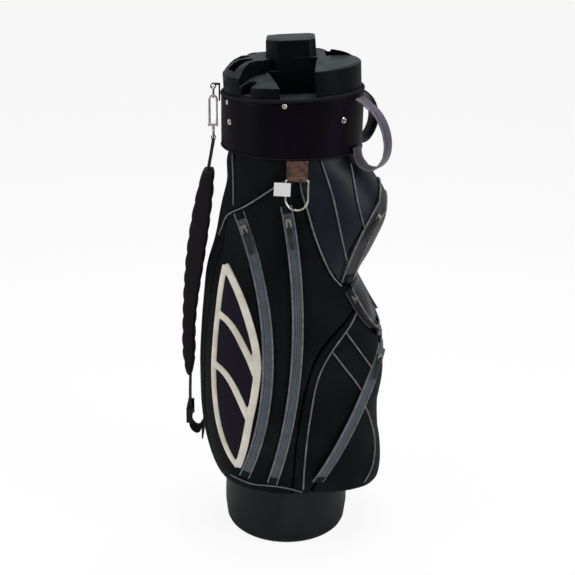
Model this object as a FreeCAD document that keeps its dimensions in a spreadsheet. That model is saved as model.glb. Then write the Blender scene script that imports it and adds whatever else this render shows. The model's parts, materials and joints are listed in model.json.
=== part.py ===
import FreeCAD, Part
import Sketcher
import math
import os
from FreeCAD import Vector, Rotation, Placement

# A round-topped cart golf bag, in millimetres.
# +Z is up, +X is the front of the bag (pockets and lift handles), -X is the spine with the
# shoulder strap, and the two flanks face -Y and +Y. The origin is the centre of the underside.

DOCUMENT = FreeCAD.newDocument("cart_golf_bag")

# ---------------------------------------------------------------- driving dimensions

SIZES = {
    # base cup
    "foot_radius": 113.5, "foot_height": 7, "foot_width": 9, "foot_seat": 3,
    "base_radius": 119.4, "belly_height": 38, "base_top_radius": 118, "base_wall": 3.2,
    "base_floor": 10, "base_floor_thick": 4, "rim_drop": 12, "rim_thick": 4, "shelf_height": 24,
    # inner tube and its stays
    "liner_radius": 100, "liner_wall": 1.5, "stay_radius": 3, "stay_circle": 103.7,
    "stay_count": 4, "seat_gap": 0.3,
    # dividers
    "core_radius": 46, "core_wall": 1.6, "blade_thick": 1.6, "divider_drop": 28, "well_count": 6,
    # padded body
    "hem_height": 112, "jacket_bore": 107.2, "seam_gap": 0.6,
    # cuff
    "cuff_bottom": 753, "cuff_radius": 124.5, "cuff_wall": 3, "rim_height": 850,
    "rim_tilt": 3.1, "collar_wall": 2.9, "collar_flange": 6, "binding_height": 7,
    "binding_out": 1.2, "seam_bead": 1.8,
    # organiser
    "organiser_radius": 120, "organiser_rise": 33, "organiser_skirt": 34, "organiser_wall": 3,
    "skirt_gap": 2.4, "deck_rise": 40, "tower_rise": 89, "tower_width": 80, "tower_depth": 102,
    "tower_corner": 16, "tower_draft": 2, "well_width": 44, "well_inner": 56, "well_outer": 111,
    "well_lip": 2.6, "well_sleeve": 14, "well_turn": -80, "notch_width": 50, "notch_floor": 4,
    # seams, zips
    "tape_thick": 6, "side_zip_width": 15, "upper_zip_width": 24, "middle_zip_width": 15,
    "ball_zip_width": 19, "channel_side": 0.5, "zip_gap": 0.4,
    "coil_width": 5, "coil_thick": 1.2, "slider_length": 14, "slider_width": 10,
    "slider_thick": 3.6, "pull_length": 46, "pull_width": 8, "pull_thick": 2, "pull_wire": 1.8,
    # leaf trim
    "trim_thick": 4, "trim_gap": 0.4, "mesh_thick": 1.4,
    # lift handles
    "handle_width": 30, "handle_thick": 3.6, "rivet_radius": 4.2, "rivet_height": 2,
    "stud_radius": 5.6, "stud_height": 2.4,
    # shoulder strap
    "strap_width": 52, "webbing_width": 38, "webbing_thick": 2.6, "hook_wire": 4,
    "hook_width": 15, "buckle_bar": 4, "buckle_thick": 5,
    # towel ring
    "tab_width": 36, "tab_height": 32, "tab_thick": 2.4, "ring_wire": 3.4, "ring_width": 38,
    "ring_height": 52,
}

sheet = DOCUMENT.addObject("Spreadsheet::Sheet", "Sizes")
for row, (alias, value) in enumerate(SIZES.items(), start=1):
    sheet.set(f"A{row}", alias.replace("_", " "))
    sheet.set(f"B{row}", str(value))
    sheet.setAlias(f"B{row}", alias)
DOCUMENT.recompute()


class Length:
    """A number that keeps the sheet expression it is worked out from."""

    def __init__(self, number, text):
        self.number = number
        self.text = text

    def join(self, other, sign, number):
        return Length(number, f"({self.text} {sign} {as_length(other).text})")

    def __add__(self, other):
        return self.join(other, "+", self.number + as_length(other).number)

    def __sub__(self, other):
        return self.join(other, "-", self.number - as_length(other).number)

    def __mul__(self, other):
        return self.join(other, "*", self.number * as_length(other).number)

    def __truediv__(self, other):
        return self.join(other, "/", self.number / as_length(other).number)

    def __neg__(self):
        return Length(-self.number, f"(0 - {self.text})")

    def __float__(self):
        return float(self.number)


def as_length(value):
    return value if isinstance(value, Length) else Length(float(value), repr(float(value)))


def cell(alias):
    return Length(float(sheet.get(alias)), f"Sizes.{alias}")


def size(alias):
    return float(sheet.get(alias))


def bind(feature, **properties):
    """Ties a feature's properties to the sheet."""
    for name, value in properties.items():
        feature.setExpression(name, as_length(value).text)


# ---------------------------------------------------------------- helpers for bodies

PIECES = []


def label(feature, name):
    feature.Label = name
    PIECES.append(feature)
    return feature


def body_named(name):
    return label(DOCUMENT.addObject("PartDesign::Body", name), name)


def origin_plane(body, role):
    for item in body.Origin.OriginFeatures:
        if item.Role == role:
            return item
    raise ValueError(role)


def sketch_on(body, role, name, height=None):
    """An empty sketch on one of the body's own origin planes, lifted by height along its normal."""
    sketch = body.newObject("Sketcher::SketchObject", name)
    sketch.AttachmentSupport = (origin_plane(body, role), [""])
    sketch.MapMode = "FlatFace"
    if height is not None:
        lift = as_length(height)
        sketch.AttachmentOffset = Placement(Vector(0, 0, lift.number), Rotation())
        sketch.setExpression("AttachmentOffset.Base.z", lift.text)
    return sketch


def outline(sketch, corners):
    """A closed outline of straight edges, each corner held by two dimensions from the origin."""
    spots = [(as_length(x), as_length(y)) for x, y in corners]
    count = len(spots)
    first = sketch.GeometryCount
    for here, there in zip(spots, spots[1:] + spots[:1]):
        start = Vector(here[0].number, here[1].number, 0)
        sketch.addGeometry(Part.LineSegment(start, Vector(there[0].number, there[1].number, 0)))
    for index in range(count):
        after = first + (index + 1) % count
        sketch.addConstraint(Sketcher.Constraint("Coincident", first + index, 2, after, 1))
    for index, spot in enumerate(spots):
        for kind, value in zip(("DistanceX", "DistanceY"), spot):
            rule = sketch.addConstraint(
                Sketcher.Constraint(kind, -1, 1, first + index, 1, value.number))
            sketch.setExpression(f"Constraints[{rule}]", value.text)


def circle(sketch, centre_x, centre_y, radius):
    x, y, r = as_length(centre_x), as_length(centre_y), as_length(radius)
    index = sketch.addGeometry(Part.Circle(Vector(x.number, y.number, 0), Vector(0, 0, 1), r.number))
    for kind, value in (("DistanceX", x), ("DistanceY", y)):
        rule = sketch.addConstraint(Sketcher.Constraint(kind, -1, 1, index, 3, value.number))
        sketch.setExpression(f"Constraints[{rule}]", value.text)
    rule = sketch.addConstraint(Sketcher.Constraint("Radius", index, r.number))
    sketch.setExpression(f"Constraints[{rule}]", r.text)


def revolve(body, sketch, kind="PartDesign::Revolution"):
    feature = body.newObject(kind, sketch.Name + "_turn")
    feature.Profile = sketch
    feature.ReferenceAxis = (sketch, ["V_Axis"])
    feature.Angle = 360
    return feature


def pad(body, sketch, length, kind="PartDesign::Pad", midplane=False, reverse=False):
    feature = body.newObject(kind, sketch.Name + "_run")
    feature.Profile = sketch
    feature.Length = as_length(length).number
    feature.Midplane = midplane
    feature.Reversed = reverse
    bind(feature, Length=length)
    return feature


def round_pattern(body, features, axis_role, count):
    pattern = body.newObject("PartDesign::PolarPattern", features[0].Name + "_ring")
    pattern.Originals = features
    for item in body.Origin.OriginFeatures:
        if item.Role == axis_role:
            pattern.Axis = (item, [""])
    pattern.Angle = 360
    pattern.Occurrences = int(float(count))
    pattern.setExpression("Occurrences", count.text)
    body.Tip = pattern
    return pattern


def plain(name, shape, place=None):
    """A sub-part whose shape is worked out below with Part's own functions."""
    feature = DOCUMENT.addObject("Part::Feature", name)
    feature.Shape = shape
    if place:
        feature.Placement = place
    return label(feature, name)

# ---------------------------------------------------------------- base cup and foot ring

foot_top = cell("foot_height") - cell("foot_seat")
foot_inner = cell("foot_radius") - cell("foot_width")
cup_inner = cell("base_radius") - cell("base_wall")
cup_floor = cell("base_floor")
shelf_inner = cell("liner_radius") + cell("seat_gap")
rim_top = cell("hem_height") - cell("seat_gap")
rim_lip = cell("jacket_bore") - cell("seat_gap")

cup = body_named("base_cup")
cup_profile = sketch_on(cup, "XZ_Plane", "cup_profile")
outline(cup_profile, [
    (0, cup_floor - cell("base_floor_thick")), (foot_inner - 6, cup_floor - cell("base_floor_thick")),
    (foot_inner - 2, foot_top), (cell("foot_radius") + 0.5, foot_top),
    (cell("foot_radius") + 2.5, foot_top + 4), (cell("base_radius"), cell("belly_height")),
    (cell("base_radius"), cell("belly_height") + 20),
    (cell("base_top_radius"), rim_top - cell("rim_thick")), (cell("base_top_radius"), rim_top),
    (rim_lip, rim_top), (rim_lip, rim_top - cell("rim_drop")),
    (rim_lip + cell("base_wall"), rim_top - cell("rim_drop")),
    (rim_lip + cell("base_wall"), rim_top - cell("rim_thick")),
    (cell("base_top_radius") - cell("base_wall"), rim_top - cell("rim_thick")),
    (cup_inner, cell("belly_height") + 20), (cup_inner, cell("belly_height")),
    (cell("foot_radius") - 1, cell("shelf_height")), (shelf_inner, cell("shelf_height")),
    (shelf_inner, cup_floor), (0, cup_floor)])
revolve(cup, cup_profile)
DOCUMENT.recompute()
socket_sketch = sketch_on(cup, "XY_Plane", "stay_socket", cup_floor)
circle(socket_sketch, cell("stay_circle"), 0, cell("stay_radius") + cell("seat_gap"))
socket = pad(cup, socket_sketch, cell("shelf_height"), kind="PartDesign::Pocket", reverse=True)
round_pattern(cup, [socket], "Z_Axis", cell("stay_count"))

foot = body_named("foot_ring")
foot_profile = sketch_on(foot, "XZ_Plane", "foot_profile")
outline(foot_profile, [
    (foot_inner, 1), (foot_inner + 1, 0), (cell("foot_radius") - 2.5, 0),
    (cell("foot_radius"), 2.5), (cell("foot_radius"), foot_top), (foot_inner, foot_top)])
revolve(foot, foot_profile)

# ---------------------------------------------------------------- inner tube, stays, dividers

flange_under = cell("cuff_bottom")
rod_top = flange_under + cell("collar_flange") / 2
stays = []
for index in range(int(size("stay_count"))):
    turn = 360 / size("stay_count") * index
    rod = DOCUMENT.addObject("Part::Cylinder", f"stay_rod_{index + 1}")
    bind(rod, Radius=cell("stay_radius"), Height=rod_top - cup_floor - cell("seat_gap") * 2)
    rod.Placement = Placement(
        Rotation(Vector(0, 0, 1), turn).multVec(
            Vector(size("stay_circle"), 0, size("base_floor") + size("seat_gap"))), Rotation())
    stays.append(rod)
stay_rods = DOCUMENT.addObject("Part::Compound", "stay_rods")
stay_rods.Links = stays
label(stay_rods, "stay_rods")

liner = body_named("liner_tube")
liner_profile = sketch_on(liner, "XZ_Plane", "liner_profile")
liner_foot = cup_floor + cell("seat_gap")
liner_top = flange_under - cell("seat_gap")
outline(liner_profile, [
    (cell("liner_radius") - cell("liner_wall"), liner_foot), (cell("liner_radius"), liner_foot),
    (cell("liner_radius"), liner_top), (cell("liner_radius") - cell("liner_wall"), liner_top)])
revolve(liner, liner_profile)

divider_top = cell("rim_height") - cell("divider_drop")
core = body_named("divider_core")
core_profile = sketch_on(core, "XZ_Plane", "core_profile")
outline(core_profile, [
    (cell("core_radius") - cell("core_wall"), liner_foot), (cell("core_radius"), liner_foot),
    (cell("core_radius"), divider_top), (cell("core_radius") - cell("core_wall"), divider_top)])
revolve(core, core_profile)

blades = body_named("divider_blades")
blade_outer = cell("liner_radius") - cell("liner_wall") - cell("seat_gap")
blade_inner = cell("core_radius") + cell("seat_gap")
blade_sketch = sketch_on(blades, "XY_Plane", "blade_plan", liner_foot)
half_blade = cell("blade_thick") / 2
outline(blade_sketch, [(blade_inner, -half_blade), (blade_outer, -half_blade),
                       (blade_outer, half_blade), (blade_inner, half_blade)])
blade = pad(blades, blade_sketch, divider_top - liner_foot)
round_pattern(blades, [blade], "Z_Axis", cell("well_count"))
blades.Placement = Placement(Vector(), Rotation(Vector(0, 0, 1), size("well_turn") + 180 / size("well_count")))

# ---------------------------------------------------------------- cuff, collar and binding

# The rim is tilted about Y, so that the front of the cuff stands taller than the spine side.
RIM = Placement(Vector(0, 0, size("rim_height")),
                Rotation(Vector(0, 1, 0), -size("rim_tilt")))
binding_foot = -(cell("binding_height") - 1.5)
collar_outer = cell("cuff_radius") - cell("cuff_wall") - cell("seat_gap")
collar_inner = collar_outer - cell("collar_wall")


def above_rim(name):
    """A block over the tilted plane that the binding sits on."""
    block = DOCUMENT.addObject("Part::Box", name)
    block.Length = block.Width = 400
    bind(block, Height=cell("binding_height") * 10)
    block.Placement = RIM.multiply(Placement(Vector(-200, -200, binding_foot.number), Rotation()))
    return block


collar = DOCUMENT.addObject("PartDesign::Body", "collar_turned")
collar_profile = sketch_on(collar, "XZ_Plane", "collar_profile")
flange_top = flange_under + cell("collar_flange")
flange_inner = cell("liner_radius") - cell("liner_wall")
collar_reach = cell("rim_height") + 20
outline(collar_profile, [
    (flange_inner, flange_under), (collar_outer, flange_under), (collar_outer, collar_reach),
    (collar_inner, collar_reach), (collar_inner, flange_top), (flange_inner, flange_top)])
revolve(collar, collar_profile)
DOCUMENT.recompute()
seat_sketch = sketch_on(collar, "XY_Plane", "stay_seat", flange_under)
circle(seat_sketch, cell("stay_circle"), 0, cell("stay_radius") + cell("seat_gap"))
seat = pad(collar, seat_sketch, cell("collar_flange") / 2, kind="PartDesign::Pocket", reverse=True)
round_pattern(collar, [seat], "Z_Axis", cell("stay_count"))
collar_ring = DOCUMENT.addObject("Part::Cut", "collar_ring")
collar_ring.Base = collar
collar_ring.Tool = above_rim("collar_trim")
label(collar_ring, "collar_ring")

cuff_outside = DOCUMENT.addObject("Part::Cylinder", "cuff_outside")
cuff_inside = DOCUMENT.addObject("Part::Cylinder", "cuff_inside")
for cylinder, radius in ((cuff_outside, cell("cuff_radius")),
                         (cuff_inside, cell("cuff_radius") - cell("cuff_wall"))):
    bind(cylinder, Radius=radius, Height=collar_reach - flange_under)
    cylinder.Placement.Base.z = flange_under.number
    cylinder.setExpression("Placement.Base.z", flange_under.text)
cuff_tube = DOCUMENT.addObject("Part::Cut", "cuff_tube")
cuff_tube.Base = cuff_outside
cuff_tube.Tool = cuff_inside
cuff_band = DOCUMENT.addObject("Part::Cut", "cuff_band")
cuff_band.Base = cuff_tube
cuff_band.Tool = above_rim("cuff_trim")
label(cuff_band, "cuff_band")

binding = body_named("cuff_binding")
binding_profile = sketch_on(binding, "XZ_Plane", "binding_profile")
binding_inner = cell("organiser_radius") + cell("seat_gap")
binding_outer = cell("cuff_radius") + cell("binding_out")
binding_head = binding_foot + cell("binding_height")
outline(binding_profile, [
    (binding_inner, binding_foot), (binding_outer - 0.6, binding_foot),
    (binding_outer, binding_foot + 1.2), (binding_outer, binding_head - 2.4),
    (binding_outer - 1.6, binding_head - 0.5), (binding_inner + 1.6, binding_head),
    (binding_inner, binding_head - 1)])
revolve(binding, binding_profile)
binding.Placement = RIM

seam = body_named("cuff_lower_seam")
seam_profile = sketch_on(seam, "XZ_Plane", "seam_profile")
seam_top = flange_under - cell("seat_gap")
seam_inner = cell("cuff_radius") - cell("cuff_wall") * 2
outline(seam_profile, [
    (seam_inner, seam_top - cell("seam_bead") * 2), (cell("cuff_radius"), seam_top - cell("seam_bead") * 2),
    (binding_outer, seam_top - cell("seam_bead")), (cell("cuff_radius") + 0.5, seam_top),
    (seam_inner, seam_top)])
revolve(seam, seam_profile)

# ---------------------------------------------------------------- organiser top

organiser = body_named("organiser_top")
skirt_outer = collar_inner - cell("skirt_gap")
skirt_inner = skirt_outer - cell("organiser_wall")
wall_inner = cell("organiser_radius") - cell("organiser_wall")
rise = cell("organiser_rise")
deck = cell("deck_rise")
thick = cell("organiser_wall")
deck_reach = cell("well_inner")
organiser_profile = sketch_on(organiser, "XZ_Plane", "organiser_profile")
outline(organiser_profile, [
    (skirt_inner, -cell("organiser_skirt")), (skirt_outer, -cell("organiser_skirt")),
    (skirt_outer, binding_foot), (cell("organiser_radius"), binding_foot),
    (cell("organiser_radius"), rise - 3), (cell("organiser_radius") - 1, rise - 1),
    (cell("organiser_radius") - 3, rise), (wall_inner - 2, rise - 2), (wall_inner - 6, rise - 4),
    (deck_reach, deck), (0, deck), (0, deck - thick), (deck_reach, deck - thick),
    (wall_inner - 6, rise - 4 - thick), (wall_inner, rise - 5 - thick),
    (wall_inner, binding_foot + thick), (skirt_inner, binding_foot)])
revolve(organiser, organiser_profile)
DOCUMENT.recompute()


def tower_plan(inset):
    """The tower's eight-sided plan, flat to the near side, with its corners cut back."""
    half_x = cell("tower_width") / 2 - inset
    half_y = cell("tower_depth") / 2 - inset
    corner = cell("tower_corner")
    return [(-half_x, -half_y + corner * 2), (-half_x + corner, -half_y), (half_x - corner, -half_y),
            (half_x, -half_y + corner), (half_x, half_y - corner * 2), (half_x - corner, half_y),
            (-half_x + corner, half_y), (-half_x, half_y - corner)]


def tower_loft(kind, name, low, low_inset, high, high_inset):
    foot_plan = sketch_on(organiser, "XY_Plane", f"{name}_foot", low)
    outline(foot_plan, tower_plan(low_inset))
    head_plan = sketch_on(organiser, "XY_Plane", f"{name}_head", high)
    outline(head_plan, tower_plan(high_inset))
    loft = organiser.newObject(kind, name)
    loft.Profile = foot_plan
    loft.Sections = [head_plan]
    loft.Ruled = True
    return loft


draft = cell("tower_draft")
tower_loft("PartDesign::AdditiveLoft", "tower", deck - thick, as_length(0), cell("tower_rise"), draft)
DOCUMENT.recompute()
tower_loft("PartDesign::SubtractiveLoft", "tower_core", deck - thick - 1, thick,
           cell("tower_rise") - thick, draft + thick)
DOCUMENT.recompute()

well_head = deck + 3
well_foot = -cell("well_sleeve")
half_well = cell("well_width") / 2
well_centre = cell("well_inner") + half_well


def well_plan(name, height, grow):
    """A U: a half-round end towards the tower and two straight sides out to the wall."""
    reach = half_well + grow
    sketch = sketch_on(organiser, "XY_Plane", name, height)
    x, y, r = well_centre.number, 0, reach.number
    end = cell("well_outer") + grow
    arc = sketch.addGeometry(Part.ArcOfCircle(
        Part.Circle(Vector(x, y, 0), Vector(0, 0, 1), r), math.pi / 2, math.pi * 3 / 2))
    low = sketch.addGeometry(Part.LineSegment(Vector(x, -r, 0), Vector(end.number, -r, 0)))
    side = sketch.addGeometry(Part.LineSegment(Vector(end.number, -r, 0), Vector(end.number, r, 0)))
    high = sketch.addGeometry(Part.LineSegment(Vector(end.number, r, 0), Vector(x, r, 0)))
    for kind, first, first_end, second, second_end in (
            ("Tangent", arc, 2, low, 1), ("Coincident", low, 2, side, 1),
            ("Coincident", side, 2, high, 1), ("Tangent", high, 2, arc, 1)):
        sketch.addConstraint(Sketcher.Constraint(kind, first, first_end, second, second_end))
    for line, kind in ((low, "Horizontal"), (side, "Vertical"), (high, "Horizontal")):
        sketch.addConstraint(Sketcher.Constraint(kind, line))
    for kind, place, value in (("DistanceX", 3, well_centre), ("DistanceY", 3, as_length(0))):
        rule = sketch.addConstraint(Sketcher.Constraint(kind, -1, 1, arc, place, value.number))
        sketch.setExpression(f"Constraints[{rule}]", value.text)
    rule = sketch.addConstraint(Sketcher.Constraint("Radius", arc, r))
    sketch.setExpression(f"Constraints[{rule}]", reach.text)
    rule = sketch.addConstraint(Sketcher.Constraint("DistanceX", -1, 1, side, 1, end.number))
    sketch.setExpression(f"Constraints[{rule}]", end.text)
    return sketch


lip_sketch = well_plan("well_lip", well_foot, cell("well_lip"))
lip = pad(organiser, lip_sketch, well_head - well_foot)
well_sketch = well_plan("well_bore", well_foot - 2, as_length(0))
well = pad(organiser, well_sketch, well_head - well_foot + 10, kind="PartDesign::Pocket", reverse=True)
DOCUMENT.recompute()
round_pattern(organiser, [lip, well], "Z_Axis", cell("well_count"))
DOCUMENT.recompute()
notch_sketch = sketch_on(organiser, "XY_Plane", "front_notch", cell("notch_floor"))
half_notch = cell("notch_width") / 2
outline(notch_sketch, [(well_centre, -half_notch), (cell("organiser_radius") + 5, -half_notch),
                       (cell("organiser_radius") + 5, half_notch), (well_centre, half_notch)])
pad(organiser, notch_sketch, deck + 20, kind="PartDesign::Pocket", reverse=True)
organiser.Placement = RIM.multiply(Placement(Vector(), Rotation(Vector(0, 0, 1), size("well_turn"))))

# ---------------------------------------------------------------- padded body

# The skin's reach, by share of the way up from the hem to the cuff: to the front, to each
# flank and to the spine. The front swells over the ball, middle and upper pockets. The last
# two say how square the section is before and behind: 2 is an ellipse, more is boxier.
STATIONS = (
    (0.00, 181, 122, 134, 3.0, 2.3), (0.045, 184, 129, 148, 3.2, 2.3),
    (0.16, 173, 139, 164, 3.3, 2.3), (0.24, 170, 142, 168, 3.2, 2.3),
    (0.34, 181, 143.5, 168.5, 2.5, 2.3), (0.45, 173, 143, 165, 2.4, 2.3),
    (0.545, 151, 142, 160, 2.6, 2.2), (0.635, 126, 139, 155, 2.6, 2.05),
    (0.73, 154, 133, 138, 2.6, 2.0), (0.83, 176, 127, 126, 2.6, 2.2),
    (0.90, 158, 120, 116, 2.6, 2.3), (0.96, 129, 117, 116, 2.4, 2.3),
    (0.99, 118, 117, 116, 2.1, 2.1), (1.00, 117, 117, 116, 2.0, 2.0))
FRONT, FLANK, SPINE, FRONT_FULLNESS, BACK_FULLNESS = 1, 2, 3, 4, 5
SECTION_POINTS = 24
SECTION_LEVELS = 27
BEYOND = 400

body_foot = size("hem_height")
body_head = size("cuff_bottom") - size("seat_gap")


def level(share):
    return body_foot + share * (body_head - body_foot)


def slope_at(index, column):
    """The slope of a column at a station, level where the column turns back."""
    if index in (0, len(STATIONS) - 1):
        return 0.0
    before, here, after = STATIONS[index - 1:index + 2]
    low = (here[column] - before[column]) / (here[0] - before[0])
    high = (after[column] - here[column]) / (after[0] - here[0])
    return 0.0 if low * high <= 0 else 2 * low * high / (low + high)


def reach(share, column):
    """A column's value between its stations, without overshoot."""
    share = min(max(share, 0.0), 1.0)
    for index in range(len(STATIONS) - 1):
        low, high = STATIONS[index], STATIONS[index + 1]
        if share <= high[0]:
            break
    run = high[0] - low[0]
    step = (share - low[0]) / run
    rest = 1 - step
    return (low[column] * (1 + 2 * step) * rest ** 2 + high[column] * (3 - 2 * step) * step ** 2
            + (slope_at(index, column) * rest - slope_at(index + 1, column) * step)
            * run * step * rest)


def skin_point(angle, share, grow=0.0):
    """A point of the skin, at an angle from the front (negative towards the near flank)."""
    across, along = math.sin(math.radians(angle)), math.cos(math.radians(angle))
    fullness = reach(share, FRONT_FULLNESS if along > 0 else BACK_FULLNESS)
    ahead = reach(share, FRONT if along > 0 else SPINE) + grow
    aside = reach(share, FLANK) + grow
    radius = (abs(along / ahead) ** fullness + abs(across / aside) ** fullness) ** (-1 / fullness)
    return Vector(radius * along, radius * across, level(share))


def skin_normal(angle, share):
    turn = skin_point(angle + 1, share) - skin_point(angle - 1, share)
    climb = skin_point(angle, share + 0.01) - skin_point(angle, share - 0.01)
    return turn.cross(climb).normalize()


def skin_solid(grow=0.0, low=0.0, high=1.0):
    """The whole padded form, or a stretch of it, grown outwards by the given distance."""
    wires = []
    steps = max(2, round(SECTION_LEVELS * (high - low)))
    for step in range(steps + 1):
        share = low + (high - low) * step / steps
        points = [skin_point(360 / SECTION_POINTS * turn, share, grow)
                  for turn in range(SECTION_POINTS)]
        curve = Part.BSplineCurve()
        curve.interpolate(points, PeriodicFlag=True)
        wires.append(Part.Wire(curve.toShape()))
    return Part.makeLoft(wires, True, False)


def ribbon(points, thickness, near, far):
    """A band of even thickness along a smooth side-view path, from y = near to y = far."""
    spine = Part.BSplineCurve()
    spine.interpolate([Vector(x, 0, z) for x, z in points])
    edges = []
    for side in (thickness / 2, -thickness / 2):
        moved = []
        for parameter in spine.getKnots():
            spot, along = spine.value(parameter), spine.tangent(parameter)[0]
            moved.append(spot + Vector(-along.z, 0, along.x) * side)
        curve = Part.BSplineCurve()
        curve.interpolate(moved)
        edges.append(curve.toShape())
    first, second = edges
    ends = [Part.LineSegment(first.Vertexes[at].Point, second.Vertexes[at].Point).toShape()
            for at in (0, -1)]
    face = Part.Face(Part.Wire(Part.__sortEdges__([first, second] + ends)))
    face.translate(Vector(0, near, 0))
    return face.extrude(Vector(0, far - near, 0))


def slit(points, near, far):
    """The gap at a seam, along a curve of (x, share of height) points."""
    return ribbon([(x, level(share)) for x, share in points], size("seam_gap"), near, far)


# Seams in the side view, as (x, share of height).
POCKET_TOP_SEAM = ((19, 0.942), (-13, 0.936), (-44, 0.90), (-83, 0.854), (-110, 0.822),
                   (-130, 0.75), (-146, 0.657), (-172, 0.56))
FRONT_SEAM = ((12, 1.06), (17, 0.915), (27, 0.869), (42, 0.792), (62, 0.716), (93, 0.641))
FLANK_SEAM = ((123, 0.574), (79, 0.507), (56, 0.459), (39, 0.389), (26, 0.289), (17, 0.16),
              (11, -0.05))
UPPER_SEAM = ((91, 0.642), (101, 0.648), (109, 0.691), (126, 0.758), (143, 0.808), (161, 0.848),
              (170, 0.88), (192, 0.91))
MIDDLE_SEAM = ((91, 0.64), (103, 0.635), (116, 0.591), (129, 0.554), (145, 0.518), (166, 0.48),
               (176, 0.452), (196, 0.43))
WAIST_SEAM = ((92.5, 0.6405), (110, 0.637), (150, 0.635), (200, 0.635))
BALL_SEAM = ((30, -0.09), (53, 0.031), (86, 0.145), (112, 0.233), (133, 0.303), (152, 0.361),
             (166, 0.403), (177, 0.433), (200, 0.45))
SPINE_HALF_WIDTH = 60

body_bore = Part.makeCylinder(size("jacket_bore"), BEYOND * 3, Vector(0, 0, -BEYOND))
padding = skin_solid().cut(body_bore)
spine_slit = Part.makeBox(BEYOND, size("seam_gap"), BEYOND * 3, Vector(-BEYOND - 30, 0, -BEYOND))
cuts = [slit(points, -BEYOND, BEYOND)
        for points in (FRONT_SEAM, FLANK_SEAM, UPPER_SEAM, MIDDLE_SEAM, WAIST_SEAM, BALL_SEAM)]
for side in (-1, 1):
    cuts.append(slit(POCKET_TOP_SEAM, *sorted((side * SPINE_HALF_WIDTH, side * BEYOND))))
    spine_cut = spine_slit.copy()
    spine_cut.translate(Vector(0, side * SPINE_HALF_WIDTH - size("seam_gap") / 2, 0))
    cuts.append(spine_cut)


# ---------------------------------------------------------------- zips

class ZipPath:
    """A circular run over the skin through three of its points, and how its tape lies."""

    def __init__(self, *spots, lift=0.0):
        start, middle, end = [skin_point(*spot) + skin_normal(*spot) * lift for spot in spots]
        arc = Part.Circle(start, middle, end)
        self.centre, self.radius = arc.Center, arc.Radius
        self.axis = arc.Axis
        if (start - self.centre).cross(middle - self.centre).dot(self.axis) < 0:
            self.axis = -self.axis
        self.start = start
        self.sweep = (self.turn_of(end)) % 360
        outward = skin_normal(*spots[1])
        spoke = (middle - self.centre).normalize()
        lean = Vector(outward.dot(spoke), outward.dot(self.axis), 0).normalize()
        self.lean = lean

    def turn_of(self, point):
        """The angle in degrees from the start of the path to a point."""
        first, other = self.start - self.centre, point - self.centre
        return math.degrees(math.atan2(first.cross(other).dot(self.axis), first.dot(other)))

    def frame(self, turn):
        """A placement on the path: X along it, Y across the tape, Z away from the bag."""
        spoke = Rotation(self.axis, turn).multVec((self.start - self.centre).normalize())
        along = self.axis.cross(spoke)
        away = spoke * self.lean.x + self.axis * self.lean.y
        across = away.cross(along)
        spot = self.centre + spoke * self.radius
        return Placement(spot, Rotation(along, across, away, "ZXY"))

    def strip(self, width, low, high, begin=0.0, finish=None):
        """A band along the path, from the depth low to the height high over it."""
        finish = self.sweep if finish is None else finish
        corners = [Vector(0, side * width / 2, depth)
                   for side, depth in ((-1, low), (1, low), (1, high), (-1, high))]
        corners = [self.frame(begin).multVec(corner) for corner in corners]
        face = Part.Face(Part.makePolygon(corners + corners[:1]))
        return face.revolve(self.centre, self.axis, finish - begin)

    def degrees(self, length):
        return math.degrees(length / self.radius)


def far_side(shape):
    return shape.mirror(Vector(), Vector(0, 1, 0))


# Three (angle, share) points for each path, on the near flank.
SIDE_PATHS = {
    "rear": ZipPath((-134.0, 0.840), (-104.5, 0.425), (-124.5, 0.052)),
    "fore": ZipPath((-94.2, 0.872), (-84.0, 0.50), (-102.0, 0.042)),
}
UPPER_PATH = ZipPath((-45.0, 0.654), (-38.4, 0.758), (-22.6, 0.850))
UPPER_FRONT = ZipPath((-22.6, 0.850), (0, 0.880), (22.6, 0.850))
MIDDLE_PATH = ZipPath((-43.0, 0.628), (-34.6, 0.554), (-17.4, 0.480))
MIDDLE_FRONT = ZipPath((-17.4, 0.480), (0, 0.462), (17.4, 0.480))
BALL_PATH = ZipPath((-13.0, 0.420), (-39.3, 0.300), (-65.5, 0.050))
BALL_FRONT = ZipPath((-13.0, 0.420), (0, 0.430), (13.0, 0.420))

tape_low = -size("tape_thick")
coil_top = size("coil_thick")


def tape_along(path, width):
    """A woven tape with its closed teeth standing on it."""
    tape = path.strip(width, tape_low, 0)
    teeth = path.strip(size("coil_width"), -0.2, coil_top)
    return tape.fuse(teeth).removeSplitter()


def channel_along(path, width):
    side = size("channel_side")
    end = path.degrees(side)
    return path.strip(width + side * 2, tape_low - size("zip_gap"), BEYOND / 10, -end,
                      path.sweep + end)


zip_tapes = {}
channels = []
for place, path in SIDE_PATHS.items():
    near = tape_along(path, size("side_zip_width"))
    channel = channel_along(path, size("side_zip_width"))
    zip_tapes[f"{place}_zip_near"] = near
    zip_tapes[f"{place}_zip_far"] = far_side(near)
    channels += [channel, far_side(channel)]
for place, path, front, width in (
        ("upper", UPPER_PATH, UPPER_FRONT, size("upper_zip_width")),
        ("middle", MIDDLE_PATH, MIDDLE_FRONT, size("middle_zip_width")),
        ("ball", BALL_PATH, BALL_FRONT, size("ball_zip_width"))):
    near, across = tape_along(path, width), tape_along(front, width)
    zip_tapes[f"{place}_zip"] = near.fuse([across, far_side(near)])
    channel = channel_along(path, width)
    channels += [channel, far_side(channel), channel_along(front, width)]

# ---------------------------------------------------------------- panels and pockets

panels = padding.cut(cuts).cut(channels)
half_space = Part.makeBox(BEYOND * 2, BEYOND, BEYOND * 4, Vector(-BEYOND, -BEYOND, -BEYOND))
half_space.translate(Vector(0, -size("seam_gap") / 2, 0))


UNDER_SKIN = 0.2


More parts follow.
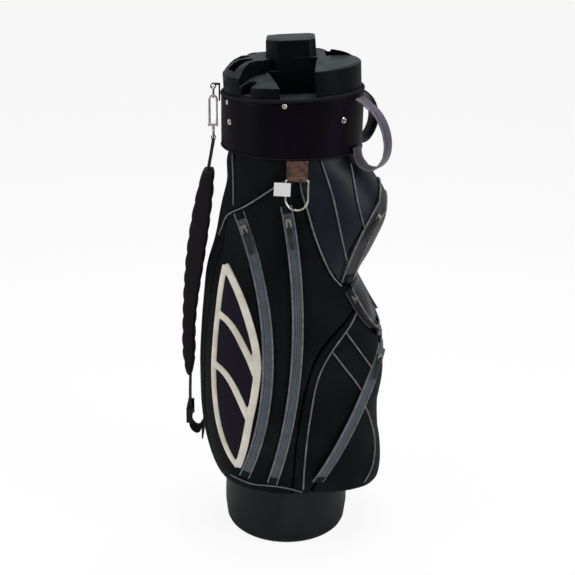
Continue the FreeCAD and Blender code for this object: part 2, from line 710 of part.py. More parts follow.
def panel_at(angle, share):
    """The panel that holds a point a little under the skin."""
    outer = skin_point(angle, share)
    reach_out = math.hypot(outer.x, outer.y)
    depth = (reach_out - size("jacket_bore")) * UNDER_SKIN
    spot = Vector(outer.x, outer.y, 0) * ((reach_out - depth) / reach_out)
    spot.z = outer.z
    for solid in panels.Solids:
        if solid.isInside(spot, 0.001, False):
            return solid
    raise ValueError(f"no panel at {angle}, {share}")


plain("spine_panel", panel_at(180, 0.5))
plain("front_yoke", panel_at(0, 0.95))
plain("upper_pocket", panel_at(0, 0.75))
plain("middle_pocket", panel_at(0, 0.60))
plain("lower_yoke", panel_at(-58, 0.40))
plain("ball_pocket", panel_at(0, 0.20))
for name, angle, share in (("side_panel", -115, 0.97), ("side_pocket", -100, 0.35)):
    near_half = panel_at(angle, share).common(half_space).Solids[0]
    plain(f"{name}_near", near_half)
    plain(f"{name}_far", far_side(near_half))
for name, tape in zip_tapes.items():
    plain(name, tape)


# ---------------------------------------------------------------- zip sliders and pulls

PIN_RADIUS = 0.9
PIN_GAP = 0.07
BARREL_RADIUS = 1.9
BARREL_LENGTH = 3.4
LUG_THICK = 1.5
LUG_GAP = 0.25
LUG_ROOT = 0.8


def pin_joint(place):
    """Two lugs with a pin between them, and the barrel that turns on it, about the Y axis."""
    lug_height = BARREL_RADIUS * 2 + 0.3
    lugs = []
    for side in (-1, 1):
        inner = BARREL_LENGTH / 2 + LUG_GAP
        low = min(side * inner, side * (inner + LUG_THICK))
        lugs.append(Part.makeBox(BARREL_RADIUS * 2, LUG_THICK, lug_height + LUG_ROOT,
                                 Vector(-BARREL_RADIUS, low, -lug_height / 2 - LUG_ROOT)))
    reach_out = BARREL_LENGTH / 2 + LUG_GAP + LUG_THICK / 2
    pin = Part.makeCylinder(PIN_RADIUS, reach_out * 2, Vector(0, -reach_out, 0), Vector(0, 1, 0))
    barrel = Part.makeCylinder(BARREL_RADIUS, BARREL_LENGTH, Vector(0, -BARREL_LENGTH / 2, 0),
                               Vector(0, 1, 0))
    bore = Part.makeCylinder(PIN_RADIUS + PIN_GAP, BARREL_LENGTH * 2,
                             Vector(0, -BARREL_LENGTH, 0), Vector(0, 1, 0))
    fixed, turning = lugs[0].fuse([lugs[1], pin]), barrel
    return fixed.transformed(place.toMatrix()), turning.transformed(place.toMatrix()), \
        bore.transformed(place.toMatrix())


def zip_slider(path, turn, down):
    """A slider on the teeth and the pull that hangs from it, towards down along the path."""
    half = path.degrees(size("slider_length") / 2)
    low = coil_top + size("zip_gap")
    body = path.strip(size("slider_width"), low, low + size("slider_thick"), turn - half, turn + half)
    frame = path.frame(turn)
    pin_height = low + size("slider_thick") + BARREL_RADIUS + 0.15
    place = frame.multiply(Placement(Vector(0, 0, pin_height), Rotation()))
    fixed, barrel, bore = pin_joint(place)
    length, width, thick = size("pull_length"), size("pull_width"), size("pull_thick")
    neck = BARREL_LENGTH / 2
    plan = [Vector(0, -neck, 0), Vector(6, -neck, 0), Vector(10, -width / 2, 0),
            Vector(length - 3, -width / 2, 0), Vector(length, -width / 2 + 3, 0),
            Vector(length, width / 2 - 3, 0), Vector(length - 3, width / 2, 0),
            Vector(10, width / 2, 0), Vector(6, neck, 0), Vector(0, neck, 0)]
    plate = Part.Face(Part.makePolygon(plan + plan[:1])).extrude(Vector(0, 0, thick))
    plate.translate(Vector(0, 0, -thick / 2))
    if down < 0:
        plate.rotate(Vector(), Vector(0, 0, 1), 180)
    plate = plate.transformed(place.toMatrix())
    return body.fuse(fixed), plate.fuse(barrel).cut(bore), place


# Each slider's place along its path, in shares of its run, and which way its pull hangs.
SLIDERS = {
    "rear": (SIDE_PATHS["rear"], 0.06, 1), "fore": (SIDE_PATHS["fore"], 0.055, 1),
    "upper": (UPPER_PATH, 0.84, -1), "middle": (MIDDLE_PATH, 0.16, 1),
    "ball": (BALL_PATH, 0.09, 1)}
pull_pins = {}
for name, (path, share, down) in SLIDERS.items():
    slider, pull, place = zip_slider(path, path.sweep * share, down)
    sides = (("near", slider, pull), ("far", far_side(slider), far_side(pull)))
    for side, slider_shape, pull_shape in sides if name in SIDE_PATHS else sides[:1]:
        mark = f"_{side}" if name in SIDE_PATHS else ""
        plain(f"{name}_slider{mark}", slider_shape)
        plain(f"{name}_pull{mark}", pull_shape)
    pull_pins[name] = place

# ---------------------------------------------------------------- leaf trim on the side pockets

LEAF_FORE = ((-114, 0.702), (-86, 0.646), (-62, 0.54), (-51.5, 0.43), (-55, 0.35), (-68, 0.255),
             (-91, 0.095))
LEAF_REAR = ((-91, 0.095), (-121, 0.175), (-139, 0.25), (-147, 0.38), (-143, 0.50), (-134, 0.60),
             (-114, 0.702))
LEAF_BARS = (((-150, 0.63), (-126, 0.557), (-103, 0.504), (-79, 0.431), (-50, 0.34)),
             ((-165, 0.46), (-141, 0.389), (-119, 0.342), (-93, 0.273), (-60, 0.19)))
LEAF_BAND = 13
LEAF_BAR = 11


def leaf_edge(points):
    curve = Part.BSplineCurve()
    curve.interpolate([Vector(x, 0, level(share)) for x, share in points])
    return curve.toShape()


leaf_face = Part.Face(Part.Wire([leaf_edge(LEAF_FORE), leaf_edge(LEAF_REAR)]))
near_side = Vector(0, -BEYOND, 0)
leaf_bands = []
for points, width in ((LEAF_FORE, LEAF_BAND * 2), (LEAF_REAR, LEAF_BAND * 2),
                      (LEAF_BARS[0], LEAF_BAR), (LEAF_BARS[1], LEAF_BAR)):
    leaf_bands.append(ribbon([(x, level(share)) for x, share in points], width, -BEYOND * 2, BEYOND))
windows = leaf_face.extrude(near_side).cut(leaf_bands)
gap, trim, mesh_thick = size("trim_gap"), size("trim_thick"), size("mesh_thick")
leaf_low, leaf_high = 0.05, 0.75
under = skin_solid(gap, leaf_low, leaf_high)
trim_layer = skin_solid(gap + trim, leaf_low, leaf_high).cut(under)
mesh_layer = skin_solid(gap + mesh_thick, leaf_low, leaf_high).cut(under)
leaf_near = trim_layer.common(leaf_face.extrude(near_side).cut(windows))
mesh_near = mesh_layer.common(windows)
plain("leaf_trim", Part.makeCompound([leaf_near, far_side(leaf_near)]))
plain("leaf_mesh", Part.makeCompound([mesh_near, far_side(mesh_near)]))

# ---------------------------------------------------------------- lift handles, rivets, studs


def turned(profile, place):
    """A solid turned about Z from an (r, z) profile, set in place."""
    points = [Vector(r, 0, z) for r, z in profile]
    face = Part.Face(Part.makePolygon(points + points[:1]))
    solid = face.revolve(Vector(), Vector(0, 0, 1), 360)
    return solid.transformed(place.toMatrix())


def on_cuff(angle, below_rim, stand=0.0):
    """A placement on the cuff's face: Z away from the bag, X upwards."""
    turn = math.radians(angle)
    away = Vector(math.cos(turn), math.sin(turn), 0)
    spot = away * (size("cuff_radius") + stand)
    spot.z = size("rim_height") + spot.x * math.tan(math.radians(size("rim_tilt"))) - below_rim
    return Placement(spot, Rotation(Vector(0, 0, 1), Vector(), away, "ZXY"))


def handle_band(points, angle):
    half = size("handle_width") / 2
    band = ribbon(points, size("handle_thick"), -half, half)
    return band.rotate(Vector(), Vector(0, 0, 1), angle)


half_handle = size("handle_thick") / 2
handle_seat = size("cuff_radius") + size("seat_gap") + half_handle
cuff_foot = size("cuff_bottom")
FRONT_HANDLE_ANGLE = -28
REAR_HANDLE_ANGLE = 30
front_route = [(handle_seat + 0.9, cuff_foot + 91), (142, cuff_foot + 83), (162, cuff_foot + 68),
               (177, cuff_foot + 45), (184, cuff_foot + 17), (180, cuff_foot - 9),
               (164, cuff_foot - 26), (144, cuff_foot - 26), (131, cuff_foot - 12),
               (handle_seat + 0.7, cuff_foot + 8)]
rear_route = [(handle_seat + 0.9, cuff_foot + 88), (144, cuff_foot + 82), (162, cuff_foot + 66),
              (172, cuff_foot + 42), (170, cuff_foot + 18), (156, cuff_foot - 4),
              (140, cuff_foot - 10), (130, cuff_foot - 4), (handle_seat + 0.5, cuff_foot + 10)]
for name, route, angle in (("lift_handle_front", front_route, FRONT_HANDLE_ANGLE),
                           ("lift_handle_rear", rear_route, REAR_HANDLE_ANGLE)):
    plain(name, handle_band(route, angle))

rivet_r, rivet_z = size("rivet_radius"), size("rivet_height")
RIVET = [(0, 0), (rivet_r, 0), (rivet_r, rivet_z * 0.3), (rivet_r * 0.8, rivet_z * 0.7),
         (rivet_r * 0.45, rivet_z * 0.95), (0, rivet_z)]
stud_r, stud_z = size("stud_radius"), size("stud_height")
STUD = [(stud_r * 0.35, 0), (stud_r, 0), (stud_r, stud_z * 0.5), (stud_r * 0.85, stud_z),
        (stud_r * 0.6, stud_z), (stud_r * 0.35, stud_z * 0.45)]
CUFF_SEAT = 0.1
rivets = []
for angle, below_rim in ((-152.6, 11), (-95.9, 10), (95.9, 10), (152.6, 11)):
    rivets.append(turned(RIVET, on_cuff(angle, below_rim, CUFF_SEAT)))
plain("cuff_rivets", Part.makeCompound(rivets))
studs = []
for angle in (-147.8, -46.3, 46.3, 147.8):
    studs.append(turned(STUD, on_cuff(angle, 43, CUFF_SEAT)))
plain("hood_studs", Part.makeCompound(studs))

# ---------------------------------------------------------------- shoulder strap

tab_angle = 180
TAB_HALF = 4.5
RING_RADIUS = 10
RING_WIRE = 1.4
RING_CENTRE = Vector(-138, 0, 840)
tab_eye = RING_CENTRE + Vector(0, 0, RING_RADIUS + 0.7)
tab_sleeve = Part.makeCylinder(5.2, TAB_HALF * 2, tab_eye - Vector(0, TAB_HALF, 0), Vector(0, 1, 0))
tab_bore = Part.makeCylinder(3.6, BEYOND, tab_eye - Vector(0, BEYOND / 2, 0), Vector(0, 1, 0))
cuff_face = -(size("cuff_radius") + size("binding_out") + size("seat_gap"))
tab_tongue = Part.makeBox(tab_eye.x * -1 + cuff_face, TAB_HALF * 2, 3,
                          Vector(tab_eye.x, -TAB_HALF, tab_eye.z + 2.2))
tab_back = Part.makeBox(2.6, TAB_HALF * 2, 30, Vector(cuff_face - 2.6, -TAB_HALF, tab_eye.z - 25.6))
plain("strap_tab_upper", tab_sleeve.fuse([tab_tongue, tab_back]).cut(tab_bore))
plain("strap_ring_upper", Part.makeTorus(RING_RADIUS, RING_WIRE, RING_CENTRE, Vector(1, 0, 0)))

# The snap hook is built upright, its eye at the origin, and then leaned on the ring.
HOOK_HALF = 6.5
BOW_HEIGHT = 60
GATE_FOOT = 22
hook_wire = size("hook_wire") / 2
ring_low = RING_CENTRE - Vector(0, 0, RING_RADIUS + RING_WIRE)
hook_top = BOW_HEIGHT + HOOK_HALF - hook_wire
hook_place = Placement(ring_low - Vector(0, 0, hook_top - RING_WIRE * 2 - size("seat_gap")),
                       Rotation())
hook_place.Base.x -= 0.5
bow_end = Vector(HOOK_HALF, 0, BOW_HEIGHT - 4)
bow_path = Part.Wire([
    Part.LineSegment(Vector(-HOOK_HALF, 0, 16), Vector(-HOOK_HALF, 0, BOW_HEIGHT)).toShape(),
    Part.Arc(Vector(-HOOK_HALF, 0, BOW_HEIGHT), Vector(0, 0, BOW_HEIGHT + HOOK_HALF),
             Vector(HOOK_HALF, 0, BOW_HEIGHT)).toShape(),
    Part.LineSegment(Vector(HOOK_HALF, 0, BOW_HEIGHT), bow_end).toShape()])
bow_section = Part.Wire(Part.makeCircle(hook_wire, Vector(-HOOK_HALF, 0, 16), Vector(0, 0, 1)))
bow = bow_path.makePipeShell([bow_section], True, True)
hook_base = Part.makeBox(size("hook_width") + 3, 6, 5, Vector(-HOOK_HALF - 3, -3, 13))
hook_base = hook_base.makeFillet(1.2, hook_base.Edges)
gate_place = Placement(Vector(HOOK_HALF, 0, GATE_FOOT), Rotation())
gate_fixed, gate_barrel, gate_bore = pin_joint(gate_place)
LUG_DROP = 3.5
for side in (-1, 1):
    inner = BARREL_LENGTH / 2 + LUG_GAP
    low = min(side * inner, side * (inner + LUG_THICK))
    gate_fixed = gate_fixed.fuse(Part.makeBox(
        BARREL_RADIUS * 2, LUG_THICK, LUG_DROP + BARREL_RADIUS,
        Vector(HOOK_HALF - BARREL_RADIUS, low, GATE_FOOT - LUG_DROP - BARREL_RADIUS)))
gate_arm = Part.makeCylinder(1.5, bow_end.z - GATE_FOOT - 0.4, Vector(HOOK_HALF, 0, GATE_FOOT))
gate = gate_arm.fuse(gate_barrel).cut(gate_bore)
neck = Part.makeCylinder(2.4, 9, Vector(0, 0, 5))
hook = bow.fuse([hook_base, gate_fixed, neck])
eye = Part.makeTorus(RING_RADIUS - 3, 1.8, Vector(0, 0, 0), Vector(1, 0, 0))
hook = hook.fuse(eye)
plain("snap_hook", hook.transformed(hook_place.toMatrix()))
plain("snap_gate", gate.transformed(hook_place.toMatrix()))

eye_low = hook_place.multVec(Vector(0, 0, -(RING_RADIUS - 3)))
END_HALF = 3
end_sleeve = Part.makeCylinder(4.6, END_HALF * 2, eye_low - Vector(0, END_HALF, 0), Vector(0, 1, 0))
end_bore = Part.makeCylinder(3.0, BEYOND, eye_low - Vector(0, BEYOND / 2, 0), Vector(0, 1, 0))
PAD_TOP = 704
PAD_FOOT = 304
PAD_ROUND = 3.2
end_points = [(eye_low.x, eye_low.z - 3.9), (eye_low.x - 2, eye_low.z - 24), (-147.5, PAD_TOP + 0.9)]
end_strip = ribbon(end_points, 5.5, -11, 11)
plain("strap_end_upper", end_strip.fuse(end_sleeve).cut(end_bore))

OUTER_EDGE = ((-157.5, 1.0), (-169, 0.9), (-178.5, 0.79), (-189, 0.625), (-196, 0.43),
              (-199.5, 0.24), (-197.5, 0.07), (-191, 0.0))
INNER_EDGE = ((-137.5, 1.0), (-139, 0.9), (-144, 0.79), (-154, 0.61), (-166.5, 0.42),
              (-176, 0.2), (-177.5, 0.07), (-182, 0.0))


def pad_height(share):
    return PAD_FOOT + share * (PAD_TOP - PAD_FOOT)


def pad_edge(points):
    curve = Part.BSplineCurve()
    curve.interpolate([Vector(x, 0, pad_height(share)) for x, share in points])
    return curve.toShape()


outer_edge, inner_edge = pad_edge(OUTER_EDGE), pad_edge(INNER_EDGE)
pad_ends = [Part.LineSegment(outer_edge.Vertexes[at].Point, inner_edge.Vertexes[at].Point).toShape()
            for at in (0, -1)]
pad_face = Part.Face(Part.Wire(Part.__sortEdges__([outer_edge, inner_edge] + pad_ends)))
half_strap = size("strap_width") / 2
pad_face.translate(Vector(0, -half_strap, 0))
strap_pad = pad_face.extrude(Vector(0, half_strap * 2, 0))
long_edges = [edge for edge in strap_pad.Edges if edge.BoundBox.ZLength > (PAD_TOP - PAD_FOOT) * 0.9]
strap_pad = strap_pad.makeFillet(PAD_ROUND, long_edges)
plain("strap_pad", strap_pad)

webbing = size("webbing_thick")
half_webbing = size("webbing_width") / 2
anchor_share = 0.115
anchor_spot = skin_point(180, anchor_share)
anchor_top = anchor_spot.z + 14
anchor_face = min(skin_point(180, anchor_share + 14 / (body_head - body_foot)).x, anchor_spot.x)
anchor_face -= size("seat_gap")
PATCH_THICK = 3
plain("strap_anchor", Part.makeBox(PATCH_THICK, half_webbing * 2 + 6, 28,
                                   Vector(anchor_face - PATCH_THICK, -half_webbing - 3,
                                          anchor_spot.z - 14)))
BUCKLE_HEIGHT = 222
buckle_x = -188
end_x = anchor_face - PATCH_THICK - size("seat_gap") - webbing / 2
lower_route = [(-186.5, PAD_FOOT - 0.3), (-187.5, PAD_FOOT - 30), (buckle_x, BUCKLE_HEIGHT + 22),
               (buckle_x, BUCKLE_HEIGHT + 8), (buckle_x, BUCKLE_HEIGHT - 8),
               (buckle_x, BUCKLE_HEIGHT - 18), (buckle_x + 3, BUCKLE_HEIGHT - 30),
               (end_x - 8, anchor_spot.z - 2), (end_x, anchor_spot.z - 3 + 10)]
plain("strap_webbing_lower", ribbon(lower_route, webbing, -half_webbing, half_webbing))

bar = size("buckle_bar")
bar_gap = size("seat_gap") + 0.2
outer_x = buckle_x - webbing / 2 - bar_gap - bar
inner_x = buckle_x + webbing / 2 + bar_gap
buckle_half = half_webbing + 1
buckle_parts = []
for x, z in ((outer_x, 13), (inner_x, 0), (outer_x, -13)):
    buckle_parts.append(Part.makeBox(bar, buckle_half * 2, bar,
                                     Vector(x, -buckle_half, BUCKLE_HEIGHT + z - bar / 2)))
for side in (-1, 1):
    low = min(side * buckle_half, side * (buckle_half + bar))
    buckle_parts.append(Part.makeBox(inner_x + bar - outer_x, bar, 26 + bar,
                                     Vector(outer_x, low, BUCKLE_HEIGHT - 13 - bar / 2)))
plain("strap_buckle", buckle_parts[0].fuse(buckle_parts[1:]))

# ---------------------------------------------------------------- towel tab and ring

TAB_X = 10
loop_z = size("cuff_bottom") - size("seat_gap") - size("seam_bead") * 2 - size("tab_height")
loop_y = -(skin_point(-85, 0.94).Length ** 2 - skin_point(-85, 0.94).z ** 2) ** 0.5 - 6.2
tab_half = size("tab_width") / 2
ring_wire = size("ring_wire") / 2
loop_inner = ring_wire + 0.35
loop_outer = loop_inner + size("tab_thick")
tab_loop = Part.makeCylinder(loop_outer, tab_half * 2 - 6, Vector(TAB_X - tab_half + 3, loop_y, loop_z),
                             Vector(1, 0, 0))
tab_hole = Part.makeCylinder(loop_inner, BEYOND, Vector(TAB_X - BEYOND / 2, loop_y, loop_z),
                             Vector(1, 0, 0))
tab_plate = Part.makeBox(tab_half * 2, size("tab_thick"), size("tab_height") - size("seat_gap"),
                         Vector(TAB_X - tab_half, loop_y - size("tab_thick") / 2, loop_z))
plain("towel_tab", tab_plate.fuse(tab_loop).cut(tab_hole))

ring_half = size("ring_width") / 2
bend = 5
low = -size("ring_height") + ring_half
ring_points = [Vector(-ring_half + bend, 0, 0), Vector(ring_half - bend, 0, 0)]
corner_mid = bend * (1 - math.sqrt(0.5))
ring_path = Part.Wire([
    Part.LineSegment(Vector(-ring_half + bend, 0, 0), Vector(ring_half - bend, 0, 0)).toShape(),
    Part.Arc(Vector(ring_half - bend, 0, 0), Vector(ring_half - corner_mid, 0, -corner_mid),
             Vector(ring_half, 0, -bend)).toShape(),
    Part.LineSegment(Vector(ring_half, 0, -bend), Vector(ring_half, 0, low)).toShape(),
    Part.Arc(Vector(ring_half, 0, low), Vector(0, 0, -size("ring_height")),
             Vector(-ring_half, 0, low)).toShape(),
    Part.LineSegment(Vector(-ring_half, 0, low), Vector(-ring_half, 0, -bend)).toShape(),
    Part.Arc(Vector(-ring_half, 0, -bend), Vector(-ring_half + corner_mid, 0, -corner_mid),
             Vector(-ring_half + bend, 0, 0)).toShape()])
ring_section = Part.Wire(Part.makeCircle(ring_wire, Vector(0, 0, 0), Vector(1, 0, 0)))
ring = ring_path.makePipeShell([ring_section], True, True)
RING_LEAN = 6
ring.rotate(Vector(), Vector(1, 0, 0), -RING_LEAN)
ring.translate(Vector(TAB_X, loop_y, loop_z))
plain("towel_ring", ring)

# ---------------------------------------------------------------- grab loop under the front

grab_x = skin_point(0, 0).x - 12
grab_top = body_foot - size("seat_gap") * 3
plain("front_grab_loop", ribbon(
    [(grab_x - 4, grab_top), (grab_x - 5, grab_top - 10), (grab_x + 1, grab_top - 22),
     (grab_x + 7, grab_top - 10), (grab_x + 6, grab_top)], 2, -8, 8))

# ---------------------------------------------------------------- checks and export

DOCUMENT.recompute()
for item in DOCUMENT.Objects:
    if "Invalid" in item.State or "Error" in item.State:
        raise RuntimeError(f"{item.Name}: {item.State}")
for piece in PIECES:
    if piece.Shape.isNull() or not piece.Shape.isValid():
        raise RuntimeError(f"{piece.Label}: bad shape")

os.makedirs("parts", exist_ok=True)
for piece in PIECES:
    piece.Shape.exportStep(f"parts/{piece.Label}.step")
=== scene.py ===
import json
import math
from collections import Counter

import bmesh
import bpy
from mathutils import Matrix, Vector, noise
from mathutils.bvhtree import BVHTree


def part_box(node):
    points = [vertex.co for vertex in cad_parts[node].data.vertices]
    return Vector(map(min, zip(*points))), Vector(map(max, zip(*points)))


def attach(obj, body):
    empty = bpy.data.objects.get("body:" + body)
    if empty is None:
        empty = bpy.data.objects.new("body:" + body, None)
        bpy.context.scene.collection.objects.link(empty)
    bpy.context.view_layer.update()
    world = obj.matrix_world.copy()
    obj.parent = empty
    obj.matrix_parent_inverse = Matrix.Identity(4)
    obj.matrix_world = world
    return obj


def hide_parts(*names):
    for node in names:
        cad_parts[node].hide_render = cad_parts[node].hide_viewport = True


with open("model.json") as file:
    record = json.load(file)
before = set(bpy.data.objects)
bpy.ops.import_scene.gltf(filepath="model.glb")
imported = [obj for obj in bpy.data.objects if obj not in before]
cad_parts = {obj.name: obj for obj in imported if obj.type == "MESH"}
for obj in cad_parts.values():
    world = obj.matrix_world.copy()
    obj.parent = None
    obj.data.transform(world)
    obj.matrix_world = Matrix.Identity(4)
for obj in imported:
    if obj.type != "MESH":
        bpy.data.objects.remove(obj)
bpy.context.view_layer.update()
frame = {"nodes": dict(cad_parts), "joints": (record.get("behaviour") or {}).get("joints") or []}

nodes = frame["nodes"]
joints = {joint["name"]: joint for joint in frame["joints"]}
MM = 0.001

# ---------------------------------------------------------------- studio
# A pale sweep of paper under and behind the bag, a broad soft light above and to each side, and
# the camera a little above the top of the bag, looking down at it.

CAMERA_HEIGHT = 1.161
CAMERA_AWAY = 1.857
CAMERA_SHIFT = -0.0033
CAMERA_PITCH = 20.16
CAMERA_ROLL = -0.9
LENS = 66.6
FLOOR_COLOUR = (0.9, 0.9, 0.9)
PAPER_GLOW = 0.9
PAPER_SEEN = (1, 1, 1, 1)
FLOOR_SIZE = 60
SKY_LEVEL = 0.3
SKY_SEEN = 0.93
SENSOR_WIDTH = 36
scene = bpy.context.scene
scene.view_settings.view_transform = "Standard"
eye = bpy.data.objects.new("eye", bpy.data.cameras.new("eye"))
eye.data.lens = LENS
eye.data.sensor_width = SENSOR_WIDTH
eye.rotation_mode = "ZXY"
eye.location = (CAMERA_SHIFT, -CAMERA_AWAY, CAMERA_HEIGHT)
eye.matrix_world = (Matrix.Translation(eye.location)
                    @ Matrix.Rotation(math.radians(90 - CAMERA_PITCH), 4, "X")
                    @ Matrix.Rotation(math.radians(-CAMERA_ROLL), 4, "Z"))
scene.collection.objects.link(eye)
scene.camera = eye


COLOUR_INPUTS = (0, 6, 7)
MIXED_COLOUR = 2


class Channel:
    """A socket that adds its own Math nodes when it is added or multiplied."""

    def __init__(self, finish, socket):
        self.finish, self.socket = finish, socket

    def maths(self, operation, *values):
        return self.finish.node("ShaderNodeMath", {"operation": operation}, *values)

    def __add__(self, other):
        return self.maths("ADD", self, other)

    def __mul__(self, other):
        return self.maths("MULTIPLY", self, other)

    def sine(self):
        return self.maths("SINE", self)

    def between(self, low, high):
        """0 at low, 1 at high, and a smooth step from one to the other."""
        return self.finish.node("ShaderNodeMapRange", {"interpolation_type": "SMOOTHSTEP"},
                                self, low, high, 0.0, 1.0)


class Finish:
    """A material: its Principled shader, and the nodes that feed it."""

    def __init__(self, name, colour, roughness, metallic=0.0, gloss=0.5):
        self.material = bpy.data.materials.new(name)
        self.material.use_nodes = True
        self.tree = self.material.node_tree
        self.shader = self.tree.nodes["Principled BSDF"]
        self.shader.inputs["Metallic"].default_value = metallic
        self.shader.inputs["Specular IOR Level"].default_value = gloss
        self.colour(colour)
        self.rough(roughness)

    def feed(self, socket, value):
        if isinstance(value, Channel):
            self.tree.links.new(value.socket, socket)
        elif value is not None:
            socket.default_value = value

    def node(self, kind, settings, *values, output=0, **named):
        made = self.tree.nodes.new(kind)
        for key, value in settings.items():
            setattr(made, key, value)
        for socket, value in zip(made.inputs, values):
            self.feed(socket, value)
        for key, value in named.items():
            self.feed(made.inputs[key], value)
        return Channel(self, made.outputs[output])

    def colour(self, value):
        self.feed(self.shader.inputs["Base Color"],
                  value if isinstance(value, Channel) else (*value, 1))

    def rough(self, value):
        self.feed(self.shader.inputs["Roughness"], value)

    def place(self):
        """Object coordinates."""
        return self.node("ShaderNodeTexCoord", {}, output="Object")

    def scaled(self, x, y, z):
        """Object coordinates stretched by a factor along each axis."""
        return self.node("ShaderNodeVectorMath", {"operation": "MULTIPLY"}, self.place(), (x, y, z))

    def cloud(self, scale, detail, place=None):
        """A soft noise with so many blobs to a metre."""
        return self.node("ShaderNodeTexNoise", {}, Vector=place or self.place(), Scale=scale,
                         Detail=detail, output="Fac")

    def cells(self, scale, feature="F1"):
        """A cell pattern: the distance from a cell's middle, or to its edge."""
        return self.node("ShaderNodeTexVoronoi", {"feature": feature}, Vector=self.place(),
                         Scale=scale)

    def weave(self, way, scale, uneven):
        """Bands of thread that run one way."""
        return self.node("ShaderNodeTexWave", {"bands_direction": way}, Vector=self.place(),
                         Scale=scale, Distortion=uneven)

    def ribs(self, spacing):
        """Waves across a tape, from the distance across that its points carry."""
        across = self.node("ShaderNodeAttribute", {"attribute_name": "across"}, output="Fac")
        return (across * (2 * math.pi / spacing)).sine() * 0.5 + 0.5

    def blend(self, factor, first, second):
        """A colour between two colours."""
        colours = [value if isinstance(value, Channel) else (*value, 1)
                   for value in (first, second)]
        mixed = self.node("ShaderNodeMix", {"data_type": "RGBA"}, output=MIXED_COLOUR)
        for socket, value in zip(COLOUR_INPUTS, (factor, *colours)):
            self.feed(mixed.socket.node.inputs[socket], value)
        return mixed

    def shade(self, factor, low, high, first, second):
        """Goes from the first colour to the second as the factor goes from low to high."""
        self.colour(self.blend(factor.between(low, high), first, second))

    def bump(self, height, depth, strength=1.0, edges=0.0):
        """Raises the surface by height times depth metres, over edges rounded by that much."""
        rounded = self.node("ShaderNodeBevel", {"samples": 4}, Radius=edges) if edges else None
        normal = self.node("ShaderNodeBump", {}, Strength=strength, Distance=depth, Height=height,
                           Normal=rounded)
        self.feed(self.shader.inputs["Normal"], normal)


def dress(piece, finish):
    """Gives a piece, or a CAD node by its name, one finish all over."""
    made = nodes[piece] if isinstance(piece, str) else piece
    made.data.materials.clear()
    made.data.materials.append(finish.material)
    return made


def plain_object(name, mesh):
    made = bpy.data.objects.new(name, mesh)
    scene.collection.objects.link(made)
    return made


def mesh_from(shape, name, smooth=True):
    mesh = bpy.data.meshes.new(name)
    shape.to_mesh(mesh)
    shape.free()
    for face in mesh.polygons:
        face.use_smooth = smooth
    return mesh


paper = Finish("paper", FLOOR_COLOUR, 0.9, gloss=0.0)
seen = paper.node("ShaderNodeLightPath", {}, output="Is Camera Ray")
glow = paper.node("ShaderNodeEmission", {}, PAPER_SEEN, 1.0)
paper.tree.links.new(
    paper.node("ShaderNodeMixShader", {}, seen * PAPER_GLOW,
               Channel(paper, paper.shader.outputs[0]), glow).socket,
    paper.tree.nodes["Material Output"].inputs["Surface"])
backdrop = bmesh.new()
bmesh.ops.create_grid(backdrop, x_segments=1, y_segments=1, size=FLOOR_SIZE)
floor = plain_object("floor", mesh_from(backdrop, "floor"))
dress(floor, paper)

world = bpy.data.worlds.new("studio")
world.use_nodes = True
scene.world = world
sky = world.node_tree
sky_ray = sky.nodes.new("ShaderNodeLightPath")
seen = sky.nodes.new("ShaderNodeMath")
seen.operation = "MAXIMUM"
sky.links.new(sky_ray.outputs["Is Camera Ray"], seen.inputs[0])
sky.links.new(sky_ray.outputs["Is Transmission Ray"], seen.inputs[1])
strength = sky.nodes.new("ShaderNodeMapRange")
sky.links.new(seen.outputs[0], strength.inputs["Value"])
strength.inputs["To Min"].default_value = SKY_LEVEL
strength.inputs["To Max"].default_value = SKY_SEEN
background = sky.nodes["Background"]
background.inputs["Color"].default_value = (1, 1, 1, 1)
sky.links.new(strength.outputs[0], background.inputs["Strength"])


def soft_box(name, spot, target, wide, tall, watts):
    lamp = bpy.data.lights.new(name, "AREA")
    lamp.shape = "RECTANGLE"
    lamp.size, lamp.size_y, lamp.energy = wide, tall, watts
    made = bpy.data.objects.new(name, lamp)
    made.matrix_world = (Matrix.Translation(spot)
                         @ (Vector(target) - Vector(spot)).to_track_quat("-Z", "Y").to_matrix().to_4x4())
    scene.collection.objects.link(made)


BAG_MIDDLE = (0, 0, 0.5)
soft_box("key", (2.1, -0.9, 1.7), BAG_MIDDLE, 0.7, 1.7, 24)
soft_box("fill", (-2.1, -0.8, 1.4), BAG_MIDDLE, 0.8, 1.8, 18)
soft_box("top", (0.1, 0.2, 2.7), BAG_MIDDLE, 1.5, 1.5, 48)

# ---------------------------------------------------------------- base cup and foot ring
# The cup is one black moulding with a fine spark-eroded grain, and a rubber ring is pressed into
# its underside.

cup_plastic = Finish("cup_plastic", (0.012, 0.013, 0.014), 0.5, gloss=0.16)
grain = cup_plastic.cloud(900, 2)
scuffs = cup_plastic.cloud(26, 6, cup_plastic.scaled(1, 1, 0.35))
cup_plastic.shade(scuffs, 0.45, 0.8, (0.0045, 0.006, 0.0068), (0.011, 0.014, 0.0155))
cup_plastic.rough(scuffs * 0.22 + 0.38)
cup_plastic.bump(grain + scuffs * 0.5, 0.0002, 0.5, 0.002)
dress("base_cup", cup_plastic)

foot_rubber = Finish("foot_rubber", (0.02, 0.02, 0.02), 0.8)
foot_rubber.bump(foot_rubber.cloud(500, 2), 0.0003, 0.5)
dress("foot_ring", foot_rubber)

# ---------------------------------------------------------------- liner, dividers, collar
# Behind the wells a smooth tube lines the bag, thin blades on a core part the clubs, and
# alloy stays hold the collar ring over the base cup.

